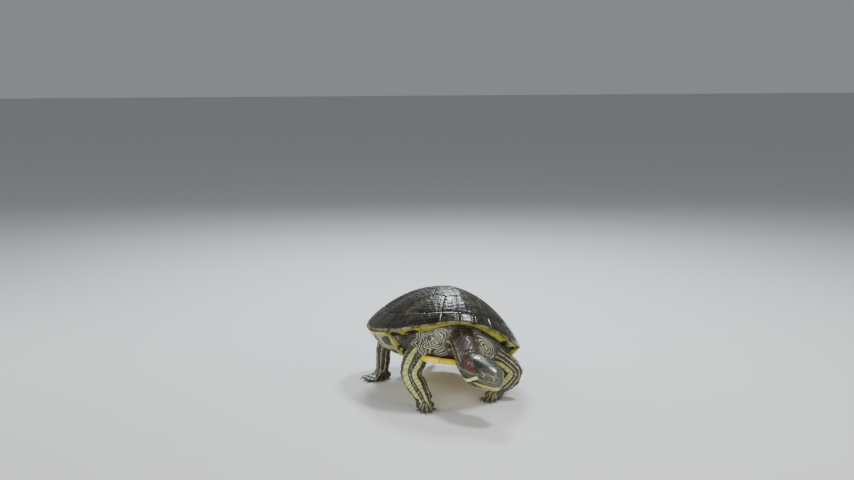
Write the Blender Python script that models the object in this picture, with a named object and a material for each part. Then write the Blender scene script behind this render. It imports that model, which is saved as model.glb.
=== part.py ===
# Red-eared slider turtle, a still life-size model standing on four legs.
# The turtle faces -Y, its own left is +X, the floor is z = 0, lengths are metres.
# Run with: blender --background --python part.py
import math

import bmesh
import bpy
import numpy as np
from mathutils import Euler, Matrix, Vector

MM = 0.001
GAP = 0.0003                  # clearance between neighbouring solids

# --- driving dimensions -------------------------------------------------------------------
SHELL_LENGTH = 0.115          # straight carapace length
SHELL_LIFT = 0.034            # height of the shell's middle, at bridge level, over the floor
SHELL_PITCH = math.radians(7.7)    # front of the shell held up
SHELL_ROLL = math.radians(9.1)     # its left side held lower than its right

HALF_WIDTH = 0.424 * SHELL_LENGTH
NUCHAL_RISE = 0.089 * SHELL_LENGTH     # the rim arches up over the neck
BRIDGE_DIP = 0.0255 * SHELL_LENGTH     # and dips where it meets the bridge
FLARE_RISE = 0.021 * SHELL_LENGTH      # and lifts again over the hind legs
DOME_HEIGHT = 0.265 * SHELL_LENGTH
WALL = 2.0 * MM
LIP_WIDTH = 1.5 * MM
SHELF_WIDTH = 6.0 * MM        # underside of the marginals, from the rim to the skin
SHELF_DROP = 2.4 * MM
SERRATION = 0.012             # notches of the hind rim, as a share of its radius

PLASTRON_FRONT = 0.445 * SHELL_LENGTH
PLASTRON_REAR = 0.452 * SHELL_LENGTH
PLASTRON_HALF_WIDTH = 0.268 * SHELL_LENGTH
PLASTRON_DROP = 0.138 * SHELL_LENGTH
PLASTRON_WALL = 3.0 * MM
TRUNK_SWELL = 3.5 * MM        # the flesh bulges out of the shell's front and rear openings
TRUNK_CLEAR = 0.8 * MM        # between the flesh and the shell's inner faces
CORE_BITE = 1.2 * MM          # how far the limbs' cutter reaches into the shell's walls

HEAD_PLACE = Vector((7.8, -80.0, 27.9)) * MM
HEAD_YAW = math.radians(23)   # looks towards its left
HEAD_PITCH = math.radians(12)      # and down
HEAD_ROLL = math.radians(3)
EYE_RADIUS = 2.6 * MM
EYE_PLACE = Vector((5.1, -7.0, 1.6)) * MM

# share of the half rim taken by the half cervical and each of its twelve marginals in turn
MARGINAL_SHARES = [0.35, 1.0, 1.1, 1.15, 1.15, 1.15, 1.15, 1.15, 1.15, 1.15, 1.1, 1.0, 0.85]

WRIST = 0.86                  # share of a limb's length where the foot's own piece starts
PALM_HEIGHT = 3.0 * MM
PALM_CENTRE = 2.4 * MM        # height of the palm's middle over the floor
WEB_THICK = 4.4               # of the foot's fan at the palm, in millimetres
WEB_EDGE = 1.0                # at its free edge, between the digits
DIGIT_RIDGE = 1.5             # how much thicker it is along a digit
CLAW_LENGTH = 5.2
CLAW_OVERLAP = 2.2            # length of a claw's root inside the digit

MODEL = bpy.data.collections.new("red_eared_slider")
TOOLS = bpy.data.collections.new("cutters")


def clear_scene():
    for old in list(bpy.data.objects):
        bpy.data.objects.remove(old, do_unlink=True)
    bpy.context.scene.collection.children.link(MODEL)
    bpy.context.scene.collection.children.link(TOOLS)


def material(name, colour, roughness, metallic=0.0):
    made = bpy.data.materials.get(name) or bpy.data.materials.new(name)
    made.use_nodes = True
    shader = made.node_tree.nodes["Principled BSDF"]
    shader.inputs["Base Color"].default_value = (*colour, 1.0)
    shader.inputs["Roughness"].default_value = roughness
    shader.inputs["Metallic"].default_value = metallic
    return made


def horn_dark():
    return material("carapace_horn", (0.045, 0.042, 0.030), 0.28)


def horn_yellow():
    return material("plastron_horn", (0.62, 0.47, 0.10), 0.35)


def skin_dark():
    return material("skin", (0.085, 0.090, 0.070), 0.45)


def eye_wet():
    return material("eye", (0.02, 0.02, 0.015), 0.08)


# --- building blocks ----------------------------------------------------------------------
def add_object(name, points, faces, look, collection=None):
    mesh = bpy.data.meshes.new(name)
    mesh.from_pydata([tuple(p) for p in points], [], faces)
    mesh.update()
    body = bmesh.new()
    body.from_mesh(mesh)
    bmesh.ops.recalc_face_normals(body, faces=body.faces)
    body.to_mesh(mesh)
    body.free()
    made = bpy.data.objects.new(name, mesh)
    if look is not None:
        mesh.materials.append(look)
    (collection or MODEL).objects.link(made)
    mesh.shade_smooth()
    mesh.set_sharp_from_angle(angle=math.radians(40))
    return made


def loft(name, rings, look, collection=None, tip_start=None, tip_end=None):
    # closed tube through rings of equal count; an end is a flat cap or comes to a tip point
    count = len(rings[0])
    points = [p for ring in rings for p in ring]
    faces = []
    for row in range(len(rings) - 1):
        for k in range(count):
            a = row * count + k
            b = row * count + (k + 1) % count
            faces.append((a, b, b + count, a + count))
    for tip, first in ((tip_start, 0), (tip_end, (len(rings) - 1) * count)):
        ring = [first + k for k in range(count)]
        if tip is None:
            faces.append(tuple(ring))
            continue
        points.append(tip)
        apex = len(points) - 1
        faces.extend((ring[k], ring[(k + 1) % count], apex) for k in range(count))
    return add_object(name, points, faces, look, collection)


def spine(stations, samples=160, ease=150):
    # smooth curve through a few stations, its bends eased, with the length at each point
    pts = np.array([tuple(p) for p in stations], float)
    ext = np.vstack([2 * pts[0] - pts[1], pts, 2 * pts[-1] - pts[-2]])
    out = []
    for i in range(len(pts) - 1):
        p0, p1, p2, p3 = ext[i:i + 4]
        for u in np.linspace(0, 1, samples // (len(pts) - 1), endpoint=False):
            square = (2 * p0 - 5 * p1 + 4 * p2 - p3) * u ** 2
            cube = (3 * p1 - p0 - 3 * p2 + p3) * u ** 3
            out.append(0.5 * (2 * p1 + (p2 - p0) * u + square + cube))
    out.append(pts[-1])
    out = np.array(out)
    for _ in range(ease):
        out[1:-1] = 0.5 * out[1:-1] + 0.25 * (out[:-2] + out[2:])
    length = np.concatenate([[0], np.cumsum(np.linalg.norm(np.diff(out, axis=0), axis=1))])
    return out, length


def along(curve, distance):
    line, length = curve
    d = min(max(distance, 0.0), length[-1])
    here = Vector([np.interp(d, length, line[:, k]) for k in range(3)])
    step = 0.4 * MM
    ahead = Vector([np.interp(min(d + step, length[-1]), length, line[:, k]) for k in range(3)])
    back = Vector([np.interp(max(d - step, 0.0), length, line[:, k]) for k in range(3)])
    return here, (ahead - back).normalized()


def ring_at(curve, distance, across, deep, side, count, square_to):
    # an oval section, square to the curve where square_to says; side is its wider axis
    here = along(curve, distance)[0]
    tangent = along(curve, square_to)[1]
    wide = (side - tangent * side.dot(tangent)).normalized()
    high = tangent.cross(wide)
    angles = [2 * math.pi * k / count for k in range(count)]
    return [here + wide * across * math.cos(a) + high * deep * math.sin(a) for a in angles]


def tube_rings(curve, start, end, sizes, side, count=16, rings=6):
    # sizes is a list of (share of the whole curve, half width, half depth); the two end faces
    # are square to the curve at the joint, half a gap away, so that neighbours stay parallel
    whole = curve[1][-1]
    joints = {0: start - GAP / 2, rings: end + GAP / 2}
    shares = [s[0] for s in sizes]
    made = []
    for k in range(rings + 1):
        d = start + (end - start) * k / rings
        across = np.interp(d / whole, shares, [s[1] for s in sizes])
        deep = np.interp(d / whole, shares, [s[2] for s in sizes])
        made.append(ring_at(curve, d, across, deep, side, count, joints.get(k, d)))
    keep_behind(made, along(curve, start)[0], -along(curve, joints[0])[1], 0)
    keep_behind(made, along(curve, end)[0], along(curve, joints[rings])[1], rings)
    return made


def keep_behind(rings, centre, outward, last):
    # inside a tight bend, rings are held back from passing through the piece's end face
    for k, ring in enumerate(rings):
        allowed = -0.04 * MM * abs(k - last)
        for point in ring:
            beyond = (point - centre).dot(outward) - allowed
            if beyond > 0:
                point -= outward * beyond


def tube(name, curve, start, end, sizes, side, look, count=16, rings=6, collection=None):
    return loft(name, tube_rings(curve, start, end, sizes, side, count, rings), look, collection)


def settle(obj):
    # every modifier is applied, so that the mesh itself holds the shape
    graph = bpy.context.evaluated_depsgraph_get()
    mesh = bpy.data.meshes.new_from_object(obj.evaluated_get(graph))
    obj.modifiers.clear()
    obj.data = mesh
    return obj


def boolean(obj, other, operation):
    cut = obj.modifiers.new(operation.lower(), "BOOLEAN")
    cut.operation = operation
    cut.solver = "EXACT"
    cut.object = other
    return settle(obj)


def carve(obj, cutters):
    for cutter in cutters:
        boolean(obj, cutter, "DIFFERENCE")
    keep_largest(obj)


def keep_largest(obj):
    # a cut can leave loose crumbs inside the shell; only the main body stays
    body = bmesh.new()
    body.from_mesh(obj.data)
    islands = []
    left = set(body.faces)
    while left:
        seed = left.pop()
        island = [seed]
        stack = [seed]
        while stack:
            for edge in stack.pop().edges:
                for face in edge.link_faces:
                    if face in left:
                        left.remove(face)
                        island.append(face)
                        stack.append(face)
        islands.append(island)
    islands.sort(key=lambda part: -sum(face.calc_area() for face in part))
    for island in islands[1:]:
        bmesh.ops.delete(body, geom=island, context="FACES")
    loose = [v for v in body.verts if not v.link_faces]
    bmesh.ops.delete(body, geom=loose, context="VERTS")
    bmesh.ops.remove_doubles(body, verts=body.verts, dist=0.00002)
    bmesh.ops.dissolve_degenerate(body, edges=body.edges, dist=0.00002)
    body.to_mesh(obj.data)
    body.free()


def room_for(obj):
    # a cutter a little larger than the piece, so that what it cuts clears the piece by a gap
    mesh = obj.data.copy()
    normals = [v.normal.copy() for v in mesh.vertices]
    for vertex, normal in zip(mesh.vertices, normals):
        vertex.co += normal * 1.45 * GAP
    made = bpy.data.objects.new(obj.name + "_room", mesh)
    TOOLS.objects.link(made)
    return as_cutter(made)


def as_cutter(obj):
    obj.hide_render = True
    obj.display_type = "WIRE"
    return obj


def stand_on_floor(obj):
    # what would sink below the floor is pressed flat on it
    for vertex in obj.data.vertices:
        vertex.co.z = max(vertex.co.z, 0.0)


# --- the shell, in its own frame, then set in its stance ------------------------------------
def in_stance(p):
    lift = Matrix.Translation((0, 0, SHELL_LIFT))
    turn = Matrix.Rotation(SHELL_ROLL, 4, "Y") @ Matrix.Rotation(-SHELL_PITCH, 4, "X")
    return lift @ turn @ Vector(p)


def seam_angles():
    # angles of the seams between marginals, from the front midline round to the back
    edges = np.cumsum([0.0] + MARGINAL_SHARES)
    return edges / edges[-1] * math.pi


def columns():
    # two columns for each marginal: on its seam, and at its middle
    half = [0.0]
    seams = seam_angles()
    for k in range(1, len(seams) - 1):
        half.append(seams[k])
        half.append(0.5 * (seams[k] + seams[k + 1]))
    half.append(math.pi)
    return half + [-a for a in reversed(half[1:-1])]


def bump(degrees, centre, spread):
    return math.exp(-((degrees - centre) / spread) ** 2)


def notch(angle):
    # the rim behind the bridge is cut in at each seam and full at each marginal's middle
    seams = seam_angles()
    a = abs(angle)
    near = min(abs(a - s) for s in seams[2:])
    behind = min(max((a - math.radians(100)) / math.radians(25), 0.0), 1.0)
    return behind * math.exp(-(near / math.radians(2.2)) ** 2)


def rim_point(angle):
    c, s = math.cos(angle), math.sin(angle)
    degrees = math.degrees(abs(angle))
    grow = 1.0 - SERRATION * notch(angle)
    y = -0.5 * SHELL_LENGTH * math.copysign(abs(c) ** 0.95, c) * grow
    x = HALF_WIDTH * math.copysign(abs(s) ** 0.9, s) * (1 - 0.05 * c) * grow
    z = NUCHAL_RISE * max(c, 0.0) ** 5 - BRIDGE_DIP * bump(degrees, 85, 28)
    z += FLARE_RISE * bump(degrees, 132, 24)
    return x, y, z


def dome_point(angle, t):
    # t is 0 at the top of the dome and 1 at the rim
    x, y, z = rim_point(angle)
    lengthwise = math.cos(angle) ** 2
    power = 1.85 + 0.30 * lengthwise
    rise = DOME_HEIGHT * (1 - min(t, 1.0) ** power) ** 0.86
    return Vector((x * t, y * t, z * t * t + rise))


def dome_inside(angle, t, depth):
    # a point under the dome, at a depth measured square to its surface
    d = 0.01
    t_low, t_high = max(t - d, 0.02), min(t + d, 0.995)
    down = dome_point(angle, t_high) - dome_point(angle, t_low)
    round_about = dome_point(angle + d, max(t, 0.05)) - dome_point(angle - d, max(t, 0.05))
    outward = round_about.cross(down)
    outward = -outward.normalized() if outward.z < 0 else outward.normalized()
    if t >= 0.995:
        outward = Vector((outward.x, outward.y, 0.35)).normalized()
    return dome_point(angle, t) - outward * depth


def shelf_point(angle, inward):
    # clear of the bridge the marginals are wedges: their underside slopes in and down from the
    # lip at inward 0 to its inner edge at inward 1, less over the neck; at the bridge it is thin
    x, y, z = rim_point(angle)
    radius = math.hypot(x, y)
    shrink = 1 - (LIP_WIDTH + (SHELF_WIDTH - LIP_WIDTH) * inward) / radius
    over_neck = max(math.cos(angle), 0.0) ** 24
    drop = SHELF_DROP * (1 - 0.55 * over_neck) * inward
    wedge = Vector((x * shrink, y * shrink, z - drop))
    thin = dome_inside(angle, 0.985, WALL) if inward > 0 else wedge
    closed = min(max((bridge_share(angle) - 0.03) * 4, 0.0), 1.0)
    return wedge.lerp(thin, closed)


def carapace(name, look):
    angles = columns()
    outer_steps = (1.0, 0.965, 0.90, 0.80, 0.67, 0.52, 0.36, 0.18)
    inner_steps = (0.88, 0.68, 0.42, 0.18)
    rings = []
    for t in reversed(inner_steps):
        rings.append([in_stance(dome_inside(a, t, WALL)) for a in angles])
    rings.append([in_stance(shelf_point(a, 1.0)) for a in angles])
    rings.append([in_stance(shelf_point(a, 0.0)) for a in angles])
    for t in outer_steps:
        rings.append([in_stance(dome_point(a, t)) for a in angles])
    inner_top = in_stance((0, 0, DOME_HEIGHT - WALL))
    outer_top = in_stance((0, 0, DOME_HEIGHT))
    return loft(name, rings, look, None, inner_top, outer_top)


def plastron_edge(angle):
    # outline of the flat plate: broad front lobe, straight sides, narrower notched hind lobe
    c, s = math.cos(angle), math.sin(angle)
    if c > 0:
        x = PLASTRON_HALF_WIDTH * math.copysign(abs(s) ** 0.45, s)
        return x, -PLASTRON_FRONT * c
    x = PLASTRON_HALF_WIDTH * math.copysign(abs(s) ** 0.62, s) * (1 + 0.10 * c)
    anal_notch = 3.2 * MM * math.exp(-(x / (4.5 * MM)) ** 2)
    return x, -PLASTRON_REAR * c - anal_notch


def bridge_share(angle):
    # 1 where the bridge joins plate and rim, falling to a low lip in front and behind
    degrees = math.degrees(abs(angle))
    rise = min(max((degrees - 52) / 12, 0.0), 1.0)
    fall = min(max((126 - degrees) / 14, 0.0), 1.0)
    share = min(rise, fall)
    return 0.03 + 0.97 * share * share * (3 - 2 * share)


def bridge_point(angle, reach, inset):
    # from the plate's edge up to just under the rim; inset moves it inwards
    x0, y0 = plastron_edge(angle)
    x1, y1, z1 = rim_point(angle)
    low = Vector((x0, y0, 0)) * (1 - inset / math.hypot(x0, y0))
    low.z = -PLASTRON_DROP + (inset if inset > 0 else 0.4 * MM)
    high = Vector((x1, y1, 0)) * (1 - (0.3 * MM + 0.6 * inset) / math.hypot(x1, y1))
    high.z = z1 - 0.4 * MM
    share = reach * bridge_share(angle)
    p = low.lerp(high, share)
    p.z -= 2.2 * MM * math.sin(math.pi * share) * (0.6 if inset > 0 else 1.0)
    return p


def plastron(name, look):
    angles = columns()
    inset = PLASTRON_WALL
    rings = []
    for f in (0.4, 0.8, 0.97):
        ring = []
        for a in angles:
            low = bridge_point(a, 0.0, inset)
            ring.append(in_stance((low.x * f, low.y * f, -PLASTRON_DROP + inset)))
        rings.append(ring)
    for reach in (0.0, 0.5, 1.0):
        rings.append([in_stance(bridge_point(a, reach, inset)) for a in angles])
    for reach in (1.0, 0.5, 0.0):
        rings.append([in_stance(bridge_point(a, reach, 0.0)) for a in angles])
    for f in (0.97, 0.8, 0.4):
        ring = []
        for a in angles:
            x, y = plastron_edge(a)
            ring.append(in_stance((x * f, y * f, -PLASTRON_DROP)))
        rings.append(ring)
    top = in_stance((0, 0, -PLASTRON_DROP + inset))
    bottom = in_stance((0, 0, -PLASTRON_DROP))
    return loft(name, rings, look, None, top, bottom)


def trunk(name, look, clear, collection=None):
    # the flesh between the two plates; it shows in front and behind, where it bulges a little
    angles = columns()
    rings = []
    for t in (0.2, 0.45, 0.66, 0.80):
        rings.append([in_stance(dome_inside(a, t, WALL + clear)) for a in angles])
    for u, reach in ((0.0, None), (0.33, 0.8), (0.67, 0.4), (1.0, 0.0)):
        ring = []
        for a in angles:
            open_end = 1 - min(bridge_share(a) * 1.2, 1.0)
            high = dome_inside(a, 0.86 - 0.02 * (1 - open_end), WALL + clear)
            x, y = plastron_edge(a)
            low = Vector((x, y, 0)) * (0.90 - 0.10 * (1 - open_end))
            low.z = -PLASTRON_DROP + PLASTRON_WALL + clear
            p = high.lerp(low, u)
            swell = 1 + TRUNK_SWELL * open_end * math.sin(math.pi * u) / math.hypot(p.x, p.y)
            p = Vector((p.x * swell, p.y * swell, p.z))
            if reach is not None:
                # beside the front half of the bridge the flesh lies along its inner face
                forward = min(max((105 - math.degrees(abs(a))) / 15, 0.0), 1.0)
                beside = bridge_point(a, reach, PLASTRON_WALL + clear)
                p = p.lerp(beside, forward * (1 - open_end))
            ring.append(in_stance(p))
        rings.append(ring)
    for f in (0.6, 0.3):
        ring = []
        for a in angles:
            x, y = plastron_edge(a)
            ring.append(in_stance((x * f, y * f, -PLASTRON_DROP + PLASTRON_WALL + clear)))
        rings.append(ring)
    top = in_stance((0, 0, DOME_HEIGHT - WALL - clear))
    bottom = in_stance((0, 0, -PLASTRON_DROP + PLASTRON_WALL + clear))
    return loft(name, rings, look, collection, top, bottom)


# --- head and neck --------------------------------------------------------------------------
def head_frame():
    turn = Euler((HEAD_PITCH, 0, 0)).to_matrix().to_4x4()
    roll = Matrix.Rotation(HEAD_ROLL, 4, "Y")
    return Matrix.Translation(HEAD_PLACE) @ Matrix.Rotation(HEAD_YAW, 4, "Z") @ turn @ roll


# distance behind the head's middle, half width, top, bottom, and squareness of the section;
# the throat hangs a little below the jaws
HEAD_SECTIONS = [
    (-15.2, 2.6, 1.9, -4.6, 0.95),
    (-13.8, 4.2, 3.4, -6.4, 0.90),
    (-11.2, 5.7, 5.0, -7.6, 0.88),
    (-8.0, 6.9, 6.2, -8.6, 0.86),
    (-4.0, 8.1, 7.1, -9.7, 0.82),
    (0.5, 9.2, 7.6, -10.7, 0.80),
    (5.0, 9.7, 7.7, -11.1, 0.80),
    (9.0, 9.4, 7.4, -11.0, 0.84),
    (12.5, 8.7, 7.0, -10.4, 0.92),
]


def head_ring(back, width, top, bottom, squareness, count=24):
    middle = 0.5 * (top + bottom) + 0.8
    ring = []
    for k in range(count):
        a = 2 * math.pi * k / count
        c, s = math.cos(a), math.sin(a)
        x = width * math.copysign(abs(c) ** squareness, c)
        reach = (top - middle) if s > 0 else (middle - bottom)
        z = middle + reach * math.copysign(abs(s) ** squareness, s)
        ring.append(head_frame() @ (Vector((x, back, z)) * MM))
    return ring


def mouth_block(name, grow):
    # the space below the mouth line, as far back as the corner of the jaw
    line = [(-18, -2.9), (-13, -3.4), (-7, -4.0), (-1, -4.5), (2.0, -5.4), (3.4, -7.0),
            (4.2, -13)]
    block = []
    for k, (y, z) in enumerate(line):
        block.append((y + (grow if k >= 4 else 0), z + (grow if k < 6 else 0)))
    block.append((-18, -13))
    frame = head_frame()
    rings = []
    for x in (-14, 14):
        rings.append([frame @ (Vector((x, y, z)) * MM) for y, z in block])
    return as_cutter(loft(name, rings, None, TOOLS))


def head_parts():
    rings = [head_ring(*section) for section in HEAD_SECTIONS]
    snout = head_frame() @ (Vector((0, -16.0, -0.6)) * MM)
    head = loft("head", rings, skin_dark(), None, snout)
    jaw = loft("lower_jaw", rings, skin_dark(), None, snout)
    boolean(jaw, mouth_block("jaw_space", 0.0), "INTERSECT")
    boolean(head, mouth_block("mouth_space", 0.3), "DIFFERENCE")
    for side, name in ((1, "eye_left"), (-1, "eye_right")):
        place = head_frame() @ Vector((side * EYE_PLACE.x, EYE_PLACE.y, EYE_PLACE.z))
        eye_ball(name, place, EYE_RADIUS, eye_wet(), MODEL)
        socket = eye_ball(name + "_socket", place, EYE_RADIUS + GAP, None, TOOLS)
        carve(head, [as_cutter(socket)])
    keep_largest(jaw)


def eye_ball(name, place, radius, look, collection):
    ball = bmesh.new()
    bmesh.ops.create_uvsphere(ball, u_segments=16, v_segments=9, radius=radius)
    mesh = bpy.data.meshes.new(name)
    ball.to_mesh(mesh)
    ball.free()
    made = bpy.data.objects.new(name, mesh)
    if look is not None:
        mesh.materials.append(look)
    mesh.shade_smooth()
    collection.objects.link(made)
    made.location = place
    return made


def neck_part(cutters):
    base = in_stance(Vector((0, -0.24, 0.02)) * SHELL_LENGTH)
    leave = in_stance(Vector((0, -0.43, -0.005)) * SHELL_LENGTH)
    nape = head_frame() @ (Vector((0, 16.0, -1.0)) * MM)
    curve = spine([base, leave, nape])
    whole = curve[1][-1]
    sizes = [(0, 10 * MM, 9 * MM), (0.5, 8.2 * MM, 8.2 * MM), (0.8, 7.6 * MM, 7.6 * MM),
             (1, 8.2 * MM, 8.0 * MM)]
    rings = tube_rings(curve, 0.0, whole, sizes, Vector((1, 0, 0)), 24, 6)
    back, width, top, bottom, squareness = HEAD_SECTIONS[-1]
    rings.append(head_ring(back + GAP / MM, width, top, bottom, squareness))
    neck = loft("neck", rings, skin_dark())
    carve(neck, cutters)


# --- limbs ------------------------------------------------------------------------------------
# Each limb is a curve through its joints. The sizes are (share of its length, half width, half
# depth), the break is the share where the upper piece ends, and the foot follows the wrist.
LIMBS = {
    "foreleg_right": {
        "stations": [(-14, -27, 33), (-24, -40, 31), (-30.5, -46, 21), (-25.5, -50, 11.5),
                     (-22.5, -53, 5.0)],
        "sizes": [(0, 8.5, 7.5), (0.3, 8.6, 7.4), (0.5, 7.4, 6.4), (0.66, 6.3, 5.0),
                  (0.85, 5.4, 3.8), (1, 5.4, 3.0)],
        "break": 0.53, "heading": -94, "spread": 36, "digits": 5, "reach": 12.5, "palm": 5.8,
    },
    "foreleg_left": {
        "stations": [(14, -24, 28.5), (27.5, -34.5, 25.5), (37.5, -37, 16.5), (30.5, -38, 8.6),
                     (23.5, -38.5, 4.8)],
        "sizes": [(0, 8.5, 7.0), (0.3, 7.8, 6.4), (0.5, 6.3, 5.4), (0.68, 6.2, 5.0),
                  (0.85, 5.4, 3.8), (1, 5.4, 3.0)],
        "break": 0.55, "heading": -126, "spread": 36, "digits": 5, "reach": 12.5, "palm": 5.8,
    },
    "hindleg_right": {
        "stations": [(-13, 37, 30), (-28, 30, 29), (-35.2, 25, 21), (-35.2, 26.5, 11),
                     (-36.0, 27.5, 5.0)],
        "sizes": [(0, 8.0, 7.5), (0.35, 7.4, 6.8), (0.55, 6.0, 5.4), (0.75, 4.8, 4.4),
                  (0.9, 4.6, 3.8), (1, 5.0, 3.2)],
        "break": 0.52, "heading": -140, "spread": 46, "digits": 5, "reach": 15.5, "palm": 6.4,
    },
    "hindleg_left": {
        "stations": [(13, 37, 25), (28, 31, 21), (36.8, 27.0, 14), (37.5, 30.0, 8.0),
                     (37.5, 31.0, 4.6)],
        "sizes": [(0, 8.0, 7.0), (0.4, 7.2, 6.4), (0.6, 5.8, 5.2), (0.8, 4.8, 4.4),
                  (0.9, 4.6, 3.8), (1, 5.0, 3.2)],
        "break": 0.55, "heading": -42, "spread": 46, "digits": 5, "reach": 15.5, "palm": 6.4,
    },
}
NAMES = {"foreleg": ("upper_arm", "forearm", "forefoot"), "hindleg": ("thigh", "shank", "hindfoot")}


def digit_reach(limb, k):
    # the middle digits are the longest
    middle = (limb["digits"] - 1) / 2
    return limb["reach"] * (1 - 0.13 * abs(k - middle) ** 1.3)


def foot_web(name, limb, centre):
    # a fan with a ridge for each digit and thin web between; columns run outwards
    per_digit = 3
    digits = limb["digits"]
    steps = (digits - 1) * per_digit
    heading, spread = math.radians(limb["heading"]), math.radians(limb["spread"])
    rows = (0.25, 0.5, 0.75, 1.0)
    top, bottom = [], []
    for k in range(-1, steps + 2):
        at = min(max(k, -0.5), steps + 0.5)
        ridge = 0.5 + 0.5 * math.cos(2 * math.pi * at / per_digit)
        angle = heading + spread * (2 * at / steps - 1)
        length = digit_reach(limb, at / per_digit) * (0.86 + 0.14 * ridge)
        column_top, column_bottom = [], []
        for row in rows:
            away = Vector((math.cos(angle), math.sin(angle), 0)) * length * row
            thick = WEB_THICK * (1 - row) + (WEB_EDGE + DIGIT_RIDGE * ridge) * row
            thick *= 0.7 if row == 1.0 else 1.0
            low = 0.35 * (1 - ridge) * row
            column_top.append((centre + away * 1.0 + Vector((0, 0, low + thick))) * MM)
            column_bottom.append((centre + away + Vector((0, 0, low))) * MM)
        top.append(column_top)
        bottom.append(column_bottom)
    # each column becomes a ring: out along the top, back along the bottom
    rings = [upper + list(reversed(lower)) for upper, lower in zip(top, bottom)]
    return loft(name, rings, skin_dark(), TOOLS)


def claw(name, limb, centre, k):
    heading, spread = math.radians(limb["heading"]), math.radians(limb["spread"])
    angle = heading + spread * (2 * k / (limb["digits"] - 1) - 1)
    out = Vector((math.cos(angle), math.sin(angle), 0))
    start = digit_reach(limb, k) - CLAW_OVERLAP
    points = []
    for share, height in ((0, 1.45), (0.5, 1.6), (1, 0.45)):
        points.append(centre + out * (start + share * CLAW_LENGTH) + Vector((0, 0, height)))
    curve = spine([p * MM for p in points], 40, 4)
    sizes = [(0, 0.85 * MM, 0.95 * MM), (0.5, 0.75 * MM, 0.85 * MM), (1, 0.28 * MM, 0.3 * MM)]
    side = Vector((-math.sin(angle), math.cos(angle), 0))
    return tube(name, curve, 0.0, curve[1][-1], sizes, side, None, 6, 3, TOOLS)


def limb_parts(name, limb, cutters):
    kind, side_name = name.split("_")
    upper_name, lower_name, foot_name = [f"{part}_{side_name}" for part in NAMES[kind]]
    curve = spine([Vector(p) * MM for p in limb["stations"]], 160, 300)
    whole = curve[1][-1]
    sizes = [(share, wide * MM, deep * MM) for share, wide, deep in limb["sizes"]]
    side = Vector((math.sin(math.radians(limb["heading"])), -math.cos(math.radians(limb["heading"])), 0))
    split = limb["break"] * whole
    wrist = WRIST * whole
    upper = tube(upper_name, curve, 0.0, split - GAP / 2, sizes, side, skin_dark(), 16, 5)
    carve(upper, cutters)
    lower = tube(lower_name, curve, split + GAP / 2, wrist - GAP / 2, sizes, side, skin_dark(), 16, 4)
    carve(lower, cutters)
    foot = tube(foot_name, curve, wrist + GAP / 2, whole, sizes, side, skin_dark(), 16, 2)
    end = Vector(limb["stations"][-1])
    heel = Vector((end.x, end.y, 0.0))
    boolean(foot, foot_web(foot_name + "_web", limb, heel), "UNION")
    middle = heel * MM + Vector((0, 0, PALM_CENTRE))
    palm = eye_ball(foot_name + "_palm", middle, PALM_HEIGHT, None, TOOLS)
    palm.scale = (limb["palm"] * MM / PALM_HEIGHT, limb["palm"] * MM / PALM_HEIGHT, 1.0)
    boolean(foot, palm, "UNION")
    for k in range(limb["digits"]):
        if kind == "hindleg" and k == (0 if side_name == "left" else limb["digits"] - 1):
            continue
        boolean(foot, claw(f"{foot_name}_claw_{k}", limb, heel, k), "UNION")
    keep_largest(foot)
    stand_on_floor(foot)


def tail_part(cutters):
    root = in_stance(Vector((0, 0.33, -0.05)) * SHELL_LENGTH)
    leave = in_stance(Vector((0, 0.45, -0.075)) * SHELL_LENGTH)
    curve = spine([root, leave, Vector((3.5, 61, 10.5)) * MM, Vector((9, 70, 3.2)) * MM])
    sizes = [(0, 5.2 * MM, 4.6 * MM), (0.4, 4.2 * MM, 3.8 * MM), (0.75, 2.3 * MM, 2.2 * MM),
             (1, 0.5 * MM, 0.5 * MM)]
    tail = tube("tail", curve, 0.0, curve[1][-1], sizes, Vector((1, 0, 0)), skin_dark(), 12, 8)
    carve(tail, cutters)


def centre_on_footprint():
    # the origin ends up under the middle of the whole model's box
    low, high = Vector((1e9,) * 3), Vector((-1e9,) * 3)
    bpy.context.view_layer.update()
    for obj in MODEL.objects:
        for corner in obj.bound_box:
            world = obj.matrix_world @ Vector(corner)
            low = Vector(map(min, low, world))
            high = Vector(map(max, high, world))
    shift = Vector((-(low.x + high.x) / 2, -(low.y + high.y) / 2, -low.z))
    for obj in MODEL.objects:
        obj.location += shift


def build():
    clear_scene()
    trunk("trunk", skin_dark(), TRUNK_CLEAR)
    core = trunk("core", None, -CORE_BITE, TOOLS)    # the same, but into both plates
    cutters = [
        room_for(core),
        room_for(carapace("carapace", horn_dark())),
        room_for(plastron("plastron", horn_yellow())),
    ]
    head_parts()
    neck_part(cutters)
    for name, limb in LIMBS.items():
        limb_parts(name, limb, cutters)
    tail_part(cutters)
    for tool in TOOLS.objects:
        as_cutter(tool)
    centre_on_footprint()


build()
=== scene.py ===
import math

import bmesh
import bpy
import numpy as np
from mathutils import Euler, Matrix, Vector


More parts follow.
